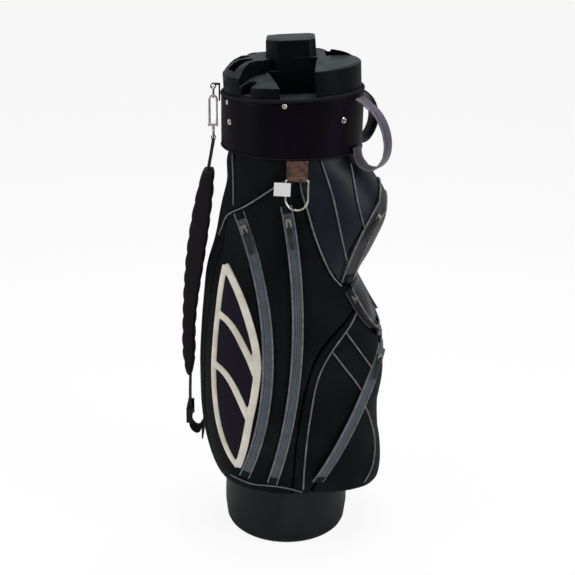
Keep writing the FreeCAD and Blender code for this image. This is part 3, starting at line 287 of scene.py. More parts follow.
inner_plastic = Finish("inner_plastic", (0.022, 0.022, 0.024), 0.55)
inner_plastic.bump(inner_plastic.cloud(700, 2), 0.0002, 0.4)
for name in ("liner_tube", "divider_core", "divider_blades", "collar_ring"):
    dress(name, inner_plastic)
stay_alloy = Finish("stay_alloy", (0.55, 0.55, 0.57), 0.35, metallic=1.0)
stay_alloy.rough(stay_alloy.cloud(60, 3, stay_alloy.scaled(4, 4, 0.2)) * 0.2 + 0.25)
dress("stay_rods", stay_alloy)

# ---------------------------------------------------------------- divided top
# One slate moulding, in millimetres with X towards the near flank and Y towards the pockets: a
# domed deck, higher towards the pockets, an eight-sided tower on its crown, blind round-ended
# wells sunk in the dome, and a wide well under the tower's near face.

RIM_HEIGHT = 850
RIM_TILT = 3.1
TOP_RADIUS, SKIRT_RADIUS, SKIRT_FOOT, DECK_FOOT = 120, 118, -12, -5
LOW_RIM, HIGH_RIM, EDGE_ROUND = 33, 44, 2
CROWN_RISE, CROWN_RADIUS, RAISED_FROM = 57, 62, 22
CORNER_HEAD, CORNER_FOOT = 36, 18
TOWER_RISE, TOWER_DRAFT, TOWER_ROUND = 87, 2, 2.4
WELL_WIDTH, WELL_INNER, WELL_OUTER, WELL_FLOOR = 30, 72, 112, 4
WELL_TURNS = (-66, -92, -118, -144, -170, 164, 138)
CORNER_TURN = -40
NOTCH_WIDTH, NOTCH_INNER = 21, 97
FRONT_FLOOR = -4
FRONT_WELL = ((46, -41), (46, 45), (125, 37), (125, -18))
SHELF_RISE = 45
SHELF_PLAN = ((-57, 57), (-40, 130), (60, 130), (115, 84), (84, 60))
TOWER_PLAN = ((46, -21.5), (46, 32.5), (35, 43.5), (-35, 43.5), (-46, 32.5), (-46, -21.5),
              (-35, -43.5), (35, -43.5))
DOME_SHOULDER = ((10, 0.42), (18, 0.68), (28, 0.88))
PAST_RIM, FAR = 5, 300
SKIRT_OVERLAP = 0.5
SPIN_STEPS, ARC_STEPS, SMOOTH_BELOW = 96, 12, 32


def turned(profile):
    """A closed form spun about Z from a line of (reach, height) points."""
    shape = bmesh.new()
    corners = [shape.verts.new((reach, 0, height)) for reach, height in profile]
    line = [shape.edges.new(pair) for pair in zip(corners, corners[1:])]
    bmesh.ops.spin(shape, geom=corners + line, cent=(0, 0, 0), axis=(0, 0, 1),
                   angle=2 * math.pi, steps=SPIN_STEPS)
    bmesh.ops.remove_doubles(shape, verts=shape.verts, dist=0.01)
    bmesh.ops.recalc_face_normals(shape, faces=shape.faces)
    return shape


def upright(plan, low, high):
    """A prism over a plan of (x, y) points."""
    shape = bmesh.new()
    face = shape.faces.new([shape.verts.new((x, y, low)) for x, y in plan])
    raised = bmesh.ops.extrude_face_region(shape, geom=[face])["geom"]
    bmesh.ops.translate(shape, vec=(0, 0, high - low),
                        verts=[item for item in raised if isinstance(item, bmesh.types.BMVert)])
    bmesh.ops.recalc_face_normals(shape, faces=shape.faces)
    return shape


def combined(first, operation, second):
    """One form cut by, joined to or kept only inside another."""
    base, tool = (plain_object(name, mesh_from(shape, name, smooth=False))
                  for name, shape in (("base", first), ("tool", second)))
    step = base.modifiers.new("step", "BOOLEAN")
    step.operation, step.solver, step.object = operation, "EXACT", tool
    shape = bmesh.new()
    shape.from_object(base, bpy.context.evaluated_depsgraph_get())
    bpy.data.objects.remove(base)
    bpy.data.objects.remove(tool)
    return shape


def dome(rim):
    """The deck from its outer wall up to the crown."""
    climb = CROWN_RISE - rim
    return turned([(0, DECK_FOOT), (TOP_RADIUS, DECK_FOOT), (TOP_RADIUS, rim - EDGE_ROUND),
                   (TOP_RADIUS - EDGE_ROUND, rim),
                   *((TOP_RADIUS - inset, rim + climb * share) for inset, share in DOME_SHOULDER),
                   (CROWN_RADIUS, CROWN_RISE), (0, CROWN_RISE)])


def well(turn, width, start, end, floor):
    """A slot with a round end towards the tower, turned about the middle."""
    half, centre = width / 2, start + width / 2
    plan = [(centre - half * math.sin(step), half * math.cos(step))
            for step in (math.pi * index / ARC_STEPS for index in range(ARC_STEPS + 1))]
    shape = upright(plan + [(end, -half), (end, half)], floor, FAR)
    bmesh.ops.rotate(shape, cent=(0, 0, 0), verts=shape.verts,
                     matrix=Matrix.Rotation(math.radians(turn), 3, "Z"))
    return shape


far_half = upright([(-FAR, RAISED_FROM), (FAR, RAISED_FROM), (FAR, FAR), (-FAR, FAR)], -FAR, FAR)
moulding = combined(dome(LOW_RIM), "UNION", combined(dome(HIGH_RIM), "INTERSECT", far_half))
above = turned([(0, CORNER_HEAD), (CROWN_RADIUS, CORNER_HEAD), (TOP_RADIUS, CORNER_FOOT),
                (TOP_RADIUS + PAST_RIM, CORNER_FOOT), (TOP_RADIUS + PAST_RIM, FAR), (0, FAR)])
corner_turn = math.radians(CORNER_TURN)
corner = upright([(0, 0), (FAR * math.cos(corner_turn), FAR * math.sin(corner_turn)), (FAR, 0)],
                 -FAR, FAR)
corner = combined(corner, "UNION", well(CORNER_TURN, WELL_WIDTH, WELL_INNER, FAR, -FAR + 1))
moulding = combined(moulding, "DIFFERENCE", combined(above, "INTERSECT", corner))
block = upright(TOWER_PLAN, CROWN_RISE / 2, TOWER_RISE)
for vertex in block.verts:
    if vertex.co.z > CROWN_RISE:
        reach = vertex.co.xy.length
        vertex.co.xy *= (reach - TOWER_DRAFT) / reach
bmesh.ops.bevel(block, geom=block.edges[:], offset=TOWER_ROUND, segments=3, profile=0.5,
                affect="EDGES")
moulding = combined(moulding, "UNION", block)
cutters = [well(turn, WELL_WIDTH, WELL_INNER, WELL_OUTER, WELL_FLOOR) for turn in WELL_TURNS]
cutters += [well(CORNER_TURN, NOTCH_WIDTH, NOTCH_INNER, TOP_RADIUS + PAST_RIM, WELL_FLOOR),
            upright(FRONT_WELL, FRONT_FLOOR, FAR), upright(SHELF_PLAN, SHELF_RISE, FAR)]
for cutter in cutters:
    moulding = combined(moulding, "DIFFERENCE", cutter)
skirt_head = DECK_FOOT + SKIRT_OVERLAP
skirt = turned([(0, SKIRT_FOOT), (SKIRT_RADIUS, SKIRT_FOOT), (SKIRT_RADIUS, skirt_head),
                (0, skirt_head)])
moulding = combined(moulding, "UNION", skirt)
for edge in moulding.edges:
    edge.smooth = edge.calc_face_angle(0) < math.radians(SMOOTH_BELOW)
bmesh.ops.transform(moulding, verts=moulding.verts, matrix=(
    Matrix.Translation((0, 0, RIM_HEIGHT * MM)) @ Matrix.Rotation(math.radians(-RIM_TILT), 4, "Y")
    @ Matrix.Rotation(math.radians(-90), 4, "Z") @ Matrix.Scale(MM, 4)))

top_plastic = Finish("top_plastic", (0.03, 0.04, 0.042), 0.42, gloss=0.08)
worn = top_plastic.cloud(38, 5)
# Painted shade: faces that turn away from the sky, the walls of the tower and wells and anything facing
# down, are painted near black. Only faces that look up keep the worn slate colour.
painted_shade_by_facing = top_plastic.node("ShaderNodeSeparateXYZ", {},
                          top_plastic.node("ShaderNodeNewGeometry", {}, output="Normal"), output="Z")
top_plastic.colour(top_plastic.blend(
    painted_shade_by_facing.between(0.15, 0.9), (0.0015, 0.0021, 0.0033),
    top_plastic.blend(worn.between(0.35, 0.75), (0.018, 0.024, 0.0255), (0.034, 0.043, 0.045))))
top_plastic.rough(worn * 0.2 + 0.28)
top_plastic.bump(top_plastic.cloud(800, 2), 0.00015, 0.4, 0.0022)
top = dress(plain_object("domed_top", mesh_from(moulding, "domed_top")), top_plastic)
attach(top, "bag")
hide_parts("organiser_top")

# ---------------------------------------------------------------- cuff
# A smooth leather-look band wrapped over the collar, turned in at a bound top edge and sewn to
# the bag along its lower seam. Its rivets are bright metal, as the studs, rings and hook are.

cuff_leather = Finish("cuff_leather", (0.004, 0.003, 0.006), 0.42, gloss=0.06)
creases_and_painted_sheen = cuff_leather.cloud(14, 4, cuff_leather.scaled(1, 1, 0.3))
pores = cuff_leather.cells(900.0, "DISTANCE_TO_EDGE")
# Painted shade and sheen: the crease noise paints the hollows of the creases near black and their ridges
# a lighter purple, which stands in for the leather's sheen.
cuff_leather.shade(creases_and_painted_sheen, 0.3, 0.75, (0.0012, 0.0009, 0.0021), (0.0050, 0.0028, 0.0085))
cuff_leather.rough(creases_and_painted_sheen * 0.2 + 0.3)
cuff_leather.bump(pores * 0.6 + creases_and_painted_sheen, 0.0004, 0.35, 0.001)

edge_tape = Finish("edge_tape", (0.005, 0.005, 0.006), 0.7, gloss=0.12)
edge_tape.bump(edge_tape.cloud(1500, 2, edge_tape.scaled(1, 1, 0.4)), 0.0004, 0.6)

bright_metal = Finish("bright_metal", (0.62, 0.59, 0.54), 0.22, metallic=1.0)
tarnish = bright_metal.cloud(120, 4)
bright_metal.rough(tarnish * 0.25 + 0.12)
bright_metal.shade(tarnish, 0.4, 0.75, (0.68, 0.65, 0.6), (0.42, 0.38, 0.33))
bright_metal.bump(tarnish, 0.0001, 0.3, 0.0006)
for name in ("cuff_rivets", "hood_studs", "strap_ring_upper", "snap_hook", "snap_gate",
             "towel_ring"):
    dress(name, bright_metal)


def remesh(shape, name, voxel):
    """A closed shape made again as an even net of small squares."""
    rough = plain_object(name + "_rough", mesh_from(shape, name + "_rough"))
    net = rough.modifiers.new("net", "REMESH")
    net.mode, net.voxel_size = "VOXEL", voxel
    mesh = bpy.data.meshes.new_from_object(rough.evaluated_get(bpy.context.evaluated_depsgraph_get()))
    bpy.data.objects.remove(rough)
    mesh.name = name
    return plain_object(name, mesh)


def cad_shape(node):
    shape = bmesh.new()
    shape.from_mesh(nodes[node].data)
    bmesh.ops.remove_doubles(shape, verts=shape.verts, dist=0.01 * MM)
    return shape


def shifted(piece, step):
    """Moves every point by what the function gives for it, worked out before any has moved."""
    steps = [step(vertex) for vertex in piece.data.vertices]
    for vertex, move in zip(piece.data.vertices, steps):
        vertex.co += move


def merged(shapes):
    whole = bmesh.new()
    for shape in shapes:
        mesh = mesh_from(shape, "part")
        whole.from_mesh(mesh)
        bpy.data.meshes.remove(mesh)
    return whole


def joined(shapes, name):
    return plain_object(name, mesh_from(merged(shapes), name))


def sewn(piece, finish, slot, *replaced):
    dress(piece, finish)
    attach(piece, "bag")
    if replaced:
        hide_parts(*replaced)


def smoothed(piece, rounds):
    """Draws the points of a net halfway towards their neighbours, so many times over."""
    smooth = piece.modifiers.new("smooth", "SMOOTH")
    smooth.factor, smooth.iterations = 0.5, rounds


def subdivided(piece):
    finer = piece.modifiers.new("finer", "SUBSURF")
    finer.levels = finer.render_levels = 1


def soft_copy(node, name, finish, slot, voxel, wrinkle, scale):
    """A soft piece made again as an even net, its edges eased and its faces a little uneven.

    The net's squares and the wrinkles are in millimetres, and the scale is wrinkles to a metre.
    """
    piece = remesh(cad_shape(node), name, voxel * MM)
    smoothed(piece, 3)
    shifted(piece, lambda vertex: vertex.normal * (wrinkle * MM) * noise.noise(vertex.co * scale))
    sewn(piece, finish, slot, node)


soft_copy("cuff_band", "cuff_wrap", cuff_leather, "cuff_leather", 1.8, 0.5, 14)
soft_copy("cuff_binding", "top_binding", edge_tape, "piping_fabric", 1.0, 0.2, 40)
soft_copy("cuff_lower_seam", "lower_seam", edge_tape, "piping_fabric", 1.0, 0.2, 40)

# ---------------------------------------------------------------- sewn panels and pockets
# The bag's skin is ten padded panels of black nylon and leather-look cloth over foam. Each is
# blown up a little between its seams, and its edges are drawn in where it is sewn.

PANEL_VOXEL = 4.5 * MM
SEAM_SINK = 2.2 * MM
SWELL_LIMIT = 0.5 * MM
PANEL_STEPS = 12
PANEL_PRESSURE = 3.0
HELD_BELOW, SUNK_ABOVE = 0.75, 0.3

nylon = Finish("nylon", (0.006, 0.0065, 0.0068), 0.75, gloss=0.06)
warp, weft = (nylon.weave(way, 900.0, 0.3) for way in "ZX")
dust = nylon.cloud(9, 5)
nylon.shade(dust, 0.35, 0.8, (0.0030, 0.0036, 0.0041), (0.0085, 0.0100, 0.0112))
nylon.rough(dust * 0.2 + 0.6)
nylon.bump(warp * 0.5 + weft * 0.5 + nylon.cloud(30, 3) * 1.5, 0.0004, 0.4)

soft_leather = Finish("soft_leather", (0.006, 0.007, 0.009), 0.45, gloss=0.2)
hide = soft_leather.cells(700.0, "DISTANCE_TO_EDGE")
folds_and_painted_sheen = soft_leather.cloud(16, 4, soft_leather.scaled(1, 1, 0.6))
# Painted shade and sheen: the fold noise paints the hollows of the folds near black and the raised folds
# a lighter blue, which stands in for the leather's blue sheen.
soft_leather.shade(folds_and_painted_sheen, 0.3, 0.8, (0.0018, 0.0032, 0.0056), (0.0050, 0.0095, 0.0180))
soft_leather.rough(folds_and_painted_sheen * 0.22 + 0.3)
soft_leather.bump(hide * 0.6 + folds_and_painted_sheen * 1.5, 0.0005, 0.35)


def blow_up(piece, pins, pressure, limit):
    """Fills a sewn piece with air for a few steps of a cloth simulation, held at its pins."""
    rest = [vertex.co.copy() for vertex in piece.data.vertices]
    held = piece.vertex_groups.new(name="held")
    held.add(pins, 1.0, "REPLACE")
    cloth = piece.modifiers.new("cloth", "CLOTH")
    cloth.settings.quality = 4
    cloth.settings.use_pressure = True
    cloth.settings.uniform_pressure_force = pressure
    cloth.settings.vertex_group_mass = "held"
    cloth.settings.effector_weights.gravity = 0
    cloth.settings.tension_stiffness = cloth.settings.compression_stiffness = 8
    cloth.settings.bending_stiffness = 1.0
    cloth.point_cache.frame_end = PANEL_STEPS
    for step in range(1, PANEL_STEPS + 1):
        scene.frame_set(step)
    blown = piece.evaluated_get(bpy.context.evaluated_depsgraph_get()).data
    moved = [vertex.co.copy() for vertex in blown.vertices]
    piece.modifiers.remove(cloth)
    scene.frame_set(1)
    for vertex, old, new in zip(piece.data.vertices, rest, moved):
        step = new - old
        if step.length > limit:
            step *= limit / step.length
        vertex.co = old + step


def outward(vertex):
    """How squarely a point of the skin faces away from the bag's middle line."""
    away = Vector((vertex.co.x, vertex.co.y, 0)).normalized()
    return vertex.normal.dot(away)


def sewn_panel(node, name, finish, slot):
    """A panel shrunk a little all over, held along its seams and blown up between them."""
    piece = remesh(cad_shape(node), name, PANEL_VOXEL)
    pins = [vertex.index for vertex in piece.data.vertices if outward(vertex) < HELD_BELOW]
    shifted(piece, lambda vertex: -vertex.normal * SEAM_SINK * (outward(vertex) > SUNK_ABOVE))
    blow_up(piece, pins, PANEL_PRESSURE, SEAM_SINK + SWELL_LIMIT)
    for face in piece.data.polygons:
        face.use_smooth = True
    smoothed(piece, 3)
    subdivided(piece)
    sewn(piece, finish, slot, node)


PANELS = (
    ("spine_panel", nylon, "bag_leather"), ("front_yoke", soft_leather, "bag_leather"),
    ("upper_pocket", soft_leather, "bag_leather"), ("middle_pocket", soft_leather, "bag_leather"),
    ("lower_yoke", nylon, "bag_fabric"), ("ball_pocket", nylon, "bag_leather"),
    ("side_panel_near", nylon, "bag_fabric"), ("side_panel_far", nylon, "bag_fabric"),
    ("side_pocket_near", nylon, "bag_fabric"), ("side_pocket_far", nylon, "bag_fabric"))
for node, finish, slot in PANELS:
    sewn_panel(node, "sewn_" + node, finish, slot)

# ---------------------------------------------------------------- zips
# Ribbed tape sewn into each pocket along a circular run, with a corded edge along both of its
# sides and a cloth stop at its ends.

TAPE_RIB, RIB_HEIGHT, TAPE_SUNK = 3.8, 0.45, 3.5
TAPE_WIDTHS = {"rear": 15, "fore": 15, "upper": 24, "middle": 15, "ball": 19}
CORD_RADIUS, CORD_GAP, CORD_AWAY = 1.7, 1.0, 0.2
STOP_MARGIN, STOP_AWAY, STOP_SUNK = 1, 1.5, 2
STOP_LENGTH = 13 * MM
COIL_HEIGHT = 1.2 * MM
RUN_STEP = 5 * MM
SECTION_SNAP = 0.2 * MM
CORNER_ROWS = 5

zip_cloth = Finish("zip_cloth", (0.07, 0.095, 0.12), 0.6)
rib_and_painted_light = zip_cloth.ribs(TAPE_RIB)
mottle = zip_cloth.cloud(60, 4)
# Painted shade and highlight: the grooves between the ribs are painted dark, and the rib crests take the
# lighter mottled blue-grey.
zip_cloth.colour(zip_cloth.blend(rib_and_painted_light.between(0.0, 0.6), (0.018, 0.024, 0.032),
                                 zip_cloth.blend(mottle.between(0.3, 0.7), (0.06, 0.083, 0.105),
                                                 (0.095, 0.125, 0.15))))
zip_cloth.bump(zip_cloth.cloud(1400, 2) * 0.5 + rib_and_painted_light * 0.4, 0.0004, 0.6)

cord_cloth = Finish("cord_cloth", (0.13, 0.13, 0.155), 0.6)
cord_cloth.shade(cord_cloth.cloud(90, 4), 0.3, 0.7, (0.085, 0.085, 0.105), (0.17, 0.17, 0.195))
cord_cloth.bump(cord_cloth.cloud(1600, 2), 0.0004, 0.6)


class Run:
    """A circular run, and how a tape lies along it."""

    def __init__(self, centre, axis, start, sweep, normal_at_middle):
        self.centre, self.axis = Vector(centre), Vector(axis).normalized()
        self.start, self.sweep = Vector(start), sweep
        self.radius = (self.start - self.centre).length
        spoke = self.spoke(sweep / 2)
        lean = Vector((normal_at_middle.dot(spoke), normal_at_middle.dot(self.axis)))
        self.lean = lean.normalized()

    def spoke(self, turn):
        return Matrix.Rotation(turn, 3, self.axis) @ (self.start - self.centre).normalized()

    def point(self, turn, across=0.0, away=0.0):
        """A point beside the run, at millimetres across the tape and away from the bag."""
        spoke = self.spoke(turn)
        out = spoke * self.lean.x + self.axis * self.lean.y
        side = out.cross(self.axis.cross(spoke))
        return self.centre + spoke * self.radius + side * across * MM + out * away * MM

    def swept(self, outline, begin=0.0, end=None):
        """Spins an open or closed outline of (across, away) points along the run."""
        end = self.sweep if end is None else end
        shape = bmesh.new()
        across_layer = shape.verts.layers.float.new("across")
        ring = []
        for across, away in outline:
            vertex = shape.verts.new(self.point(begin, across, away))
            vertex[across_layer] = across
            ring.append(vertex)
        edges = [shape.edges.new(pair) for pair in zip(ring, ring[1:] + ring[:1])]
        steps = max(4, round(self.radius * (end - begin) / RUN_STEP))
        spun = bmesh.ops.spin(shape, geom=ring + edges, cent=self.centre, axis=self.axis,
                              angle=end - begin, steps=steps, use_merge=False,
                              use_normal_flip=False, use_duplicate=False)
        last = [item for item in spun["geom_last"] if isinstance(item, bmesh.types.BMEdge)]
        bmesh.ops.holes_fill(shape, edges=edges + last, sides=0)
        bmesh.ops.recalc_face_normals(shape, faces=shape.faces)
        return shape

    def lower_end(self, reach):
        """Where a piece of the run that is so long begins, at whichever end is lower."""
        return 0.0 if self.point(0).z < self.point(self.sweep).z else self.sweep - reach

    def mirrored(self):
        flip = Vector((1, -1, 1))
        other = Run.__new__(Run)
        other.centre, other.axis = self.centre * flip, Vector((-1, 1, -1)) * self.axis
        other.start, other.sweep, other.radius = self.start * flip, self.sweep, self.radius
        other.lean = Vector((self.lean.x, -self.lean.y))
        return other


def tape_net(node):
    return BVHTree.FromObject(nodes[node], bpy.context.evaluated_depsgraph_get())


def side_run(joint, node):
    """The run that a near slider's joint turns on, its ends taken from the CAD tape.

    Only the corners of the near stretch keep one radius and one height about the joint's axis.
    """
    pivot, axis = Vector(joints[joint]["pos_m"]), Vector(joints[joint]["axis"]).normalized()
    points = [vertex.co - pivot for vertex in nodes[node].data.vertices if vertex.co.y < 0]
    places = [(round((point - axis * point.dot(axis)).length / SECTION_SNAP),
               round(point.dot(axis) / SECTION_SNAP)) for point in points]
    corners = Counter(places)
    points = [point for point, place in zip(points, places) if corners[place] > CORNER_ROWS]
    middle = sum(points, Vector()) / len(points)
    spoke = (middle - axis * middle.dot(axis)).normalized()
    tangent = axis.cross(spoke)
    turns = sorted(math.atan2(point.dot(tangent), point.dot(spoke)) for point in points)
    reach = max(point.length for point in points) + 50 * MM
    hit, away = tape_net(node).ray_cast(pivot + spoke * reach, -spoke)[:2]
    radius = (hit - pivot).length - COIL_HEIGHT
    start = pivot + Matrix.Rotation(turns[0], 3, axis) @ spoke * radius
    return Run(pivot, axis, start, turns[-1] - turns[0], away)


def middle_section(node):
    """The centre of a CAD tape's top where it crosses the middle of the bag, and its normal."""
    shape = cad_shape(node)
    cut = bmesh.ops.bisect_plane(shape, geom=shape.verts[:] + shape.edges[:] + shape.faces[:],
                                 plane_co=(0, 0, 0), plane_no=(0, 1, 0))["geom_cut"]
    points = [item.co.copy() for item in cut if isinstance(item, bmesh.types.BMVert)]
    shape.free()

    def extent(direction):
        reach = [point.dot(direction) for point in points]
        return min(reach), max(reach)

    ways = [Vector((math.cos(math.radians(turn)), 0, math.sin(math.radians(turn))))
            for turn in range(-89, 90)]
    away = min(ways, key=lambda way: extent(way)[1] - extent(way)[0])
    across = Vector((-away.z, 0, away.x))
    return across * sum(extent(across)) / 2 + away * (extent(away)[1] - COIL_HEIGHT), away


def front_run(node, near):
    """The run round the front of a pocket, from the end of a near run to the far side."""
    end = max((near.point(0), near.point(near.sweep)), key=lambda point: point.x)
    middle, away = middle_section(node)
    far = end * Vector((1, -1, 1))
    half, rise = (far - end) / 2, middle - (end + far) / 2
    radius = (half.length_squared + rise.length_squared) / (2 * rise.length)
    centre = middle - rise.normalized() * radius
    axis = (end - centre).cross(far - centre).normalized()
    sweep = (end - centre).angle(far - centre)
    return Run(centre, axis, end, sweep, away)


side_runs = {place: side_run(f"{place}_slider_near_travel", f"{place}_zip_near")
             for place in ("rear", "fore")}
pocket_runs = {place: side_run(f"{place}_slider_travel", f"{place}_zip")
               for place in ("upper", "middle", "ball")}
front_runs = {place: front_run(f"{place}_zip", near) for place, near in pocket_runs.items()}


def tape_outline(width):
    """A tape's section: ribs along the top, and a flat back let into the pocket."""
    ribs = round(width / TAPE_RIB) * 4
    top = []
    for step in range(ribs + 1):
        across = -width / 2 + width * step / ribs
        top.append((across, RIB_HEIGHT * math.cos(2 * math.pi * across / TAPE_RIB)))
    return [(-width / 2, -TAPE_SUNK)] + top + [(width / 2, -TAPE_SUNK)]


def stop_outline(width):
    half = width / 2 + STOP_MARGIN
    return [(-half, -STOP_SUNK), (-half, STOP_AWAY), (half, STOP_AWAY), (half, -STOP_SUNK)]


def round_outline(across, away, radius, corners=8):
    return [(across + radius * math.cos(2 * math.pi * turn / corners),
             away + radius * math.sin(2 * math.pi * turn / corners)) for turn in range(corners)]


pocket_cloth = Finish("pocket_cloth", (0.03, 0.027, 0.027), 0.5, gloss=0.3)
rib_and_painted_light = pocket_cloth.ribs(TAPE_RIB)
# Painted shade and highlight: the grooves between the ribs are painted near black and the rib crests a
# lighter brown-grey.
pocket_cloth.shade(rib_and_painted_light, 0.0, 0.6, (0.006, 0.006, 0.007), (0.034, 0.031, 0.032))
pocket_cloth.bump(pocket_cloth.cloud(1400, 2) * 0.5 + rib_and_painted_light * 0.4, 0.0004, 0.6)
stop_cloth = Finish("stop_cloth", (0.006, 0.006, 0.007), 0.6, gloss=0.1)
stop_cloth.bump(stop_cloth.cloud(1200, 2), 0.0003, 0.5)

zips = [(f"{place}_{side}", [run if side == "near" else run.mirrored()], TAPE_WIDTHS[place],
         f"{place}_zip_{side}") for place, run in side_runs.items() for side in ("near", "far")]
for place, near in pocket_runs.items():
    zips.append((place, [near, front_runs[place], near.mirrored()], TAPE_WIDTHS[place],
                 f"{place}_zip"))
for name, runs, width, node in zips:
    tape = joined([run.swept(tape_outline(width)) for run in runs], f"tape_{name}")
    sewn(tape, pocket_cloth if name in ("upper", "middle") else zip_cloth, "zip_tape", node)
    edging = [run.swept(round_outline(side * (width / 2 + CORD_GAP), CORD_AWAY, CORD_RADIUS))
              for run in runs for side in (-1, 1)]
    sewn(joined(edging, f"edging_{name}"), cord_cloth, "zip_tape")
    stops = []
    for run in {id(run): run for run in (runs[0], runs[-1])}.values():
        reach = STOP_LENGTH / run.radius
        ends = (0.0, run.sweep - reach) if len(runs) == 1 else (run.lower_end(reach),)
        stops += [run.swept(stop_outline(width), end, end + reach) for end in ends]
    sewn(joined(stops, f"stops_{name}"), stop_cloth, "zip_tape")

# ---------------------------------------------------------------- corded seams
# Where two panels meet, and where a pocket's face is quilted, a thin grey cord is sewn into the
# seam. Each is laid through the same few points on both flanks.

CORD_STEP = 6 * MM
SEAM_CORD = 1.5
SEAM_REACH = 3.5 * MM
SEAM_JUMP, EASE_ROUNDS = 6, 4
START_BESIDE = 0.4

cad_skin_points, cad_skin_faces = [], []
for node, _, _ in PANELS:
    base = len(cad_skin_points)
    cad_skin_points += [vertex.co.copy() for vertex in nodes[node].data.vertices]
    cad_skin_faces += [[base + index for index in face.vertices]
                       for face in nodes[node].data.polygons]
cad_skin = BVHTree.FromPolygons(cad_skin_points, cad_skin_faces)


def from_side(x, z, side):
    """The place and normal where a line straight in from one flank meets the bag."""
    return cad_skin.ray_cast(Vector((x, side * START_BESIDE, z)), Vector((0, -side, 0)))[:2]


def smooth_route(points, step):
    """Evenly spaced points on a smooth line through the given ones."""
    points = [Vector(point) for point in points]
    ends = [points[0] * 2 - points[1]] + points + [points[-1] * 2 - points[-2]]
    route = []
    for before, here, after, beyond in zip(ends, ends[1:], ends[2:], ends[3:]):
        count = max(2, round((after - here).length / step))
        for index in range(count):
            t = index / count
            route.append(0.5 * (2 * here + (after - before) * t
                                + (2 * before - 5 * here + 4 * after - beyond) * t ** 2
                                + (3 * here - before - 3 * after + beyond) * t ** 3))
    return route + [points[-1]]


def frames_along(route, normals):
    """Placements along a route: X along it, Y across, Z away."""
    frames = []
    for index, (spot, normal) in enumerate(zip(route, normals)):
        along = (route[min(index + 1, len(route) - 1)] - route[max(index - 1, 0)]).normalized()
        across = normal.cross(along).normalized()
        out = along.cross(across)
        frames.append(Matrix.Translation(spot) @ Matrix((along, across, out)).transposed().to_4x4())
    return frames


def drawn(frames, outline):
    """Extrudes a closed outline of (across, away) millimetres from frame to frame."""
    shape = bmesh.new()
    across_layer = shape.verts.layers.float.new("across")
    ring = []
    for across, away in outline:
        vertex = shape.verts.new(frames[0] @ Vector((0, across * MM, away * MM)))
        vertex[across_layer] = across
        ring.append(vertex)
    first = edges = [shape.edges.new(pair) for pair in zip(ring, ring[1:] + ring[:1])]
    for before, after in zip(frames, frames[1:]):
        new = bmesh.ops.extrude_edge_only(shape, edges=edges)["geom"]
        verts = [item for item in new if isinstance(item, bmesh.types.BMVert)]
        fresh = set(verts)
        edges = [item for item in new if isinstance(item, bmesh.types.BMEdge)
                 and item.verts[0] in fresh and item.verts[1] in fresh]
        bmesh.ops.transform(shape, matrix=after @ before.inverted(), verts=verts)
    bmesh.ops.holes_fill(shape, edges=first + edges, sides=0)
    bmesh.ops.recalc_face_normals(shape, faces=shape.faces)
    return shape


def eased(values):
    """A row of vectors, each drawn towards its neighbours."""
    middle = [(a + b * 2 + c) / 4 for a, b, c in zip(values, values[1:], values[2:])]
    return values[:1] + middle + values[-1:]


def laid(points, side):
    """Frames along a line of (x, z) millimetres set down on one flank, across a seam."""
    line = smooth_route([(x * MM, 0, z * MM) for x, z in points], CORD_STEP)
    route, normals = [], []
    for before, spot, after in zip(line[:1] + line, line, line[1:] + line[-1:]):
        along = (after - before).normalized()
        beside = Vector((-along.z, 0, along.x)) * SEAM_REACH
        hits = [from_side((spot + beside * way).x, (spot + beside * way).z, side)
                for way in (-1, 1)]
        hits = [hit for hit in hits if hit[0] is not None]
        if len(hits) == 2 and (hits[0][0] - hits[1][0]).length < SEAM_REACH * SEAM_JUMP:
            route.append((hits[0][0] + hits[1][0]) / 2)
            normals.append((hits[0][1] + hits[1][1]).normalized())
    for _ in range(EASE_ROUNDS):
        route, normals = eased(route), [normal.normalized() for normal in eased(normals)]
    return frames_along(route, normals)


SEAM_CORDS = {
    "panel_line": ((-102, 746), (-100, 704), (-99, 659)),
    "pocket_top": ((-13, 712), (-44, 689), (-83, 659), (-110, 639), (-123, 605), (-138, 565),
                   (-146, 533), (-151, 496)),
    "front_line": ((14, 746), (17, 698), (27, 669), (42, 620), (62, 571), (78, 541), (91, 525)),
    "yoke_line": ((50, 746), (71, 686), (88, 616), (101, 563)),
    "yoke_fore": ((102, 734), (115, 672), (129, 623)),
    "flank_line": ((120, 470), (109, 452), (77, 409), (53, 356), (41, 277), (36, 225), (33, 170),
                   (32, 124)),
    "quilt_upper": ((101, 442), (129, 398), (155, 355)),
    "quilt_lower": ((78, 408), (105, 369), (124, 341), (137, 316)),
    "ball_line": ((142, 290), (149, 273), (163, 221), (166, 186), (161, 155), (147, 127)),
    "hem_line": ((-106, 138), (-62, 130), (-29, 132), (3, 127), (30, 118))}
for name, points in SEAM_CORDS.items():
    for side, mark in ((-1, "near"), (1, "far")):
        cord = drawn(laid(points, side), round_outline(0, 0.0, SEAM_CORD))
        sewn(plain_object(f"cord_{name}_{mark}", mesh_from(cord, name)), cord_cloth, "piping_fabric")

# ---------------------------------------------------------------- leaf trim
# On each side pocket a leaf of cream leather-look cloth over foam is sewn round three windows of
# dark mesh.

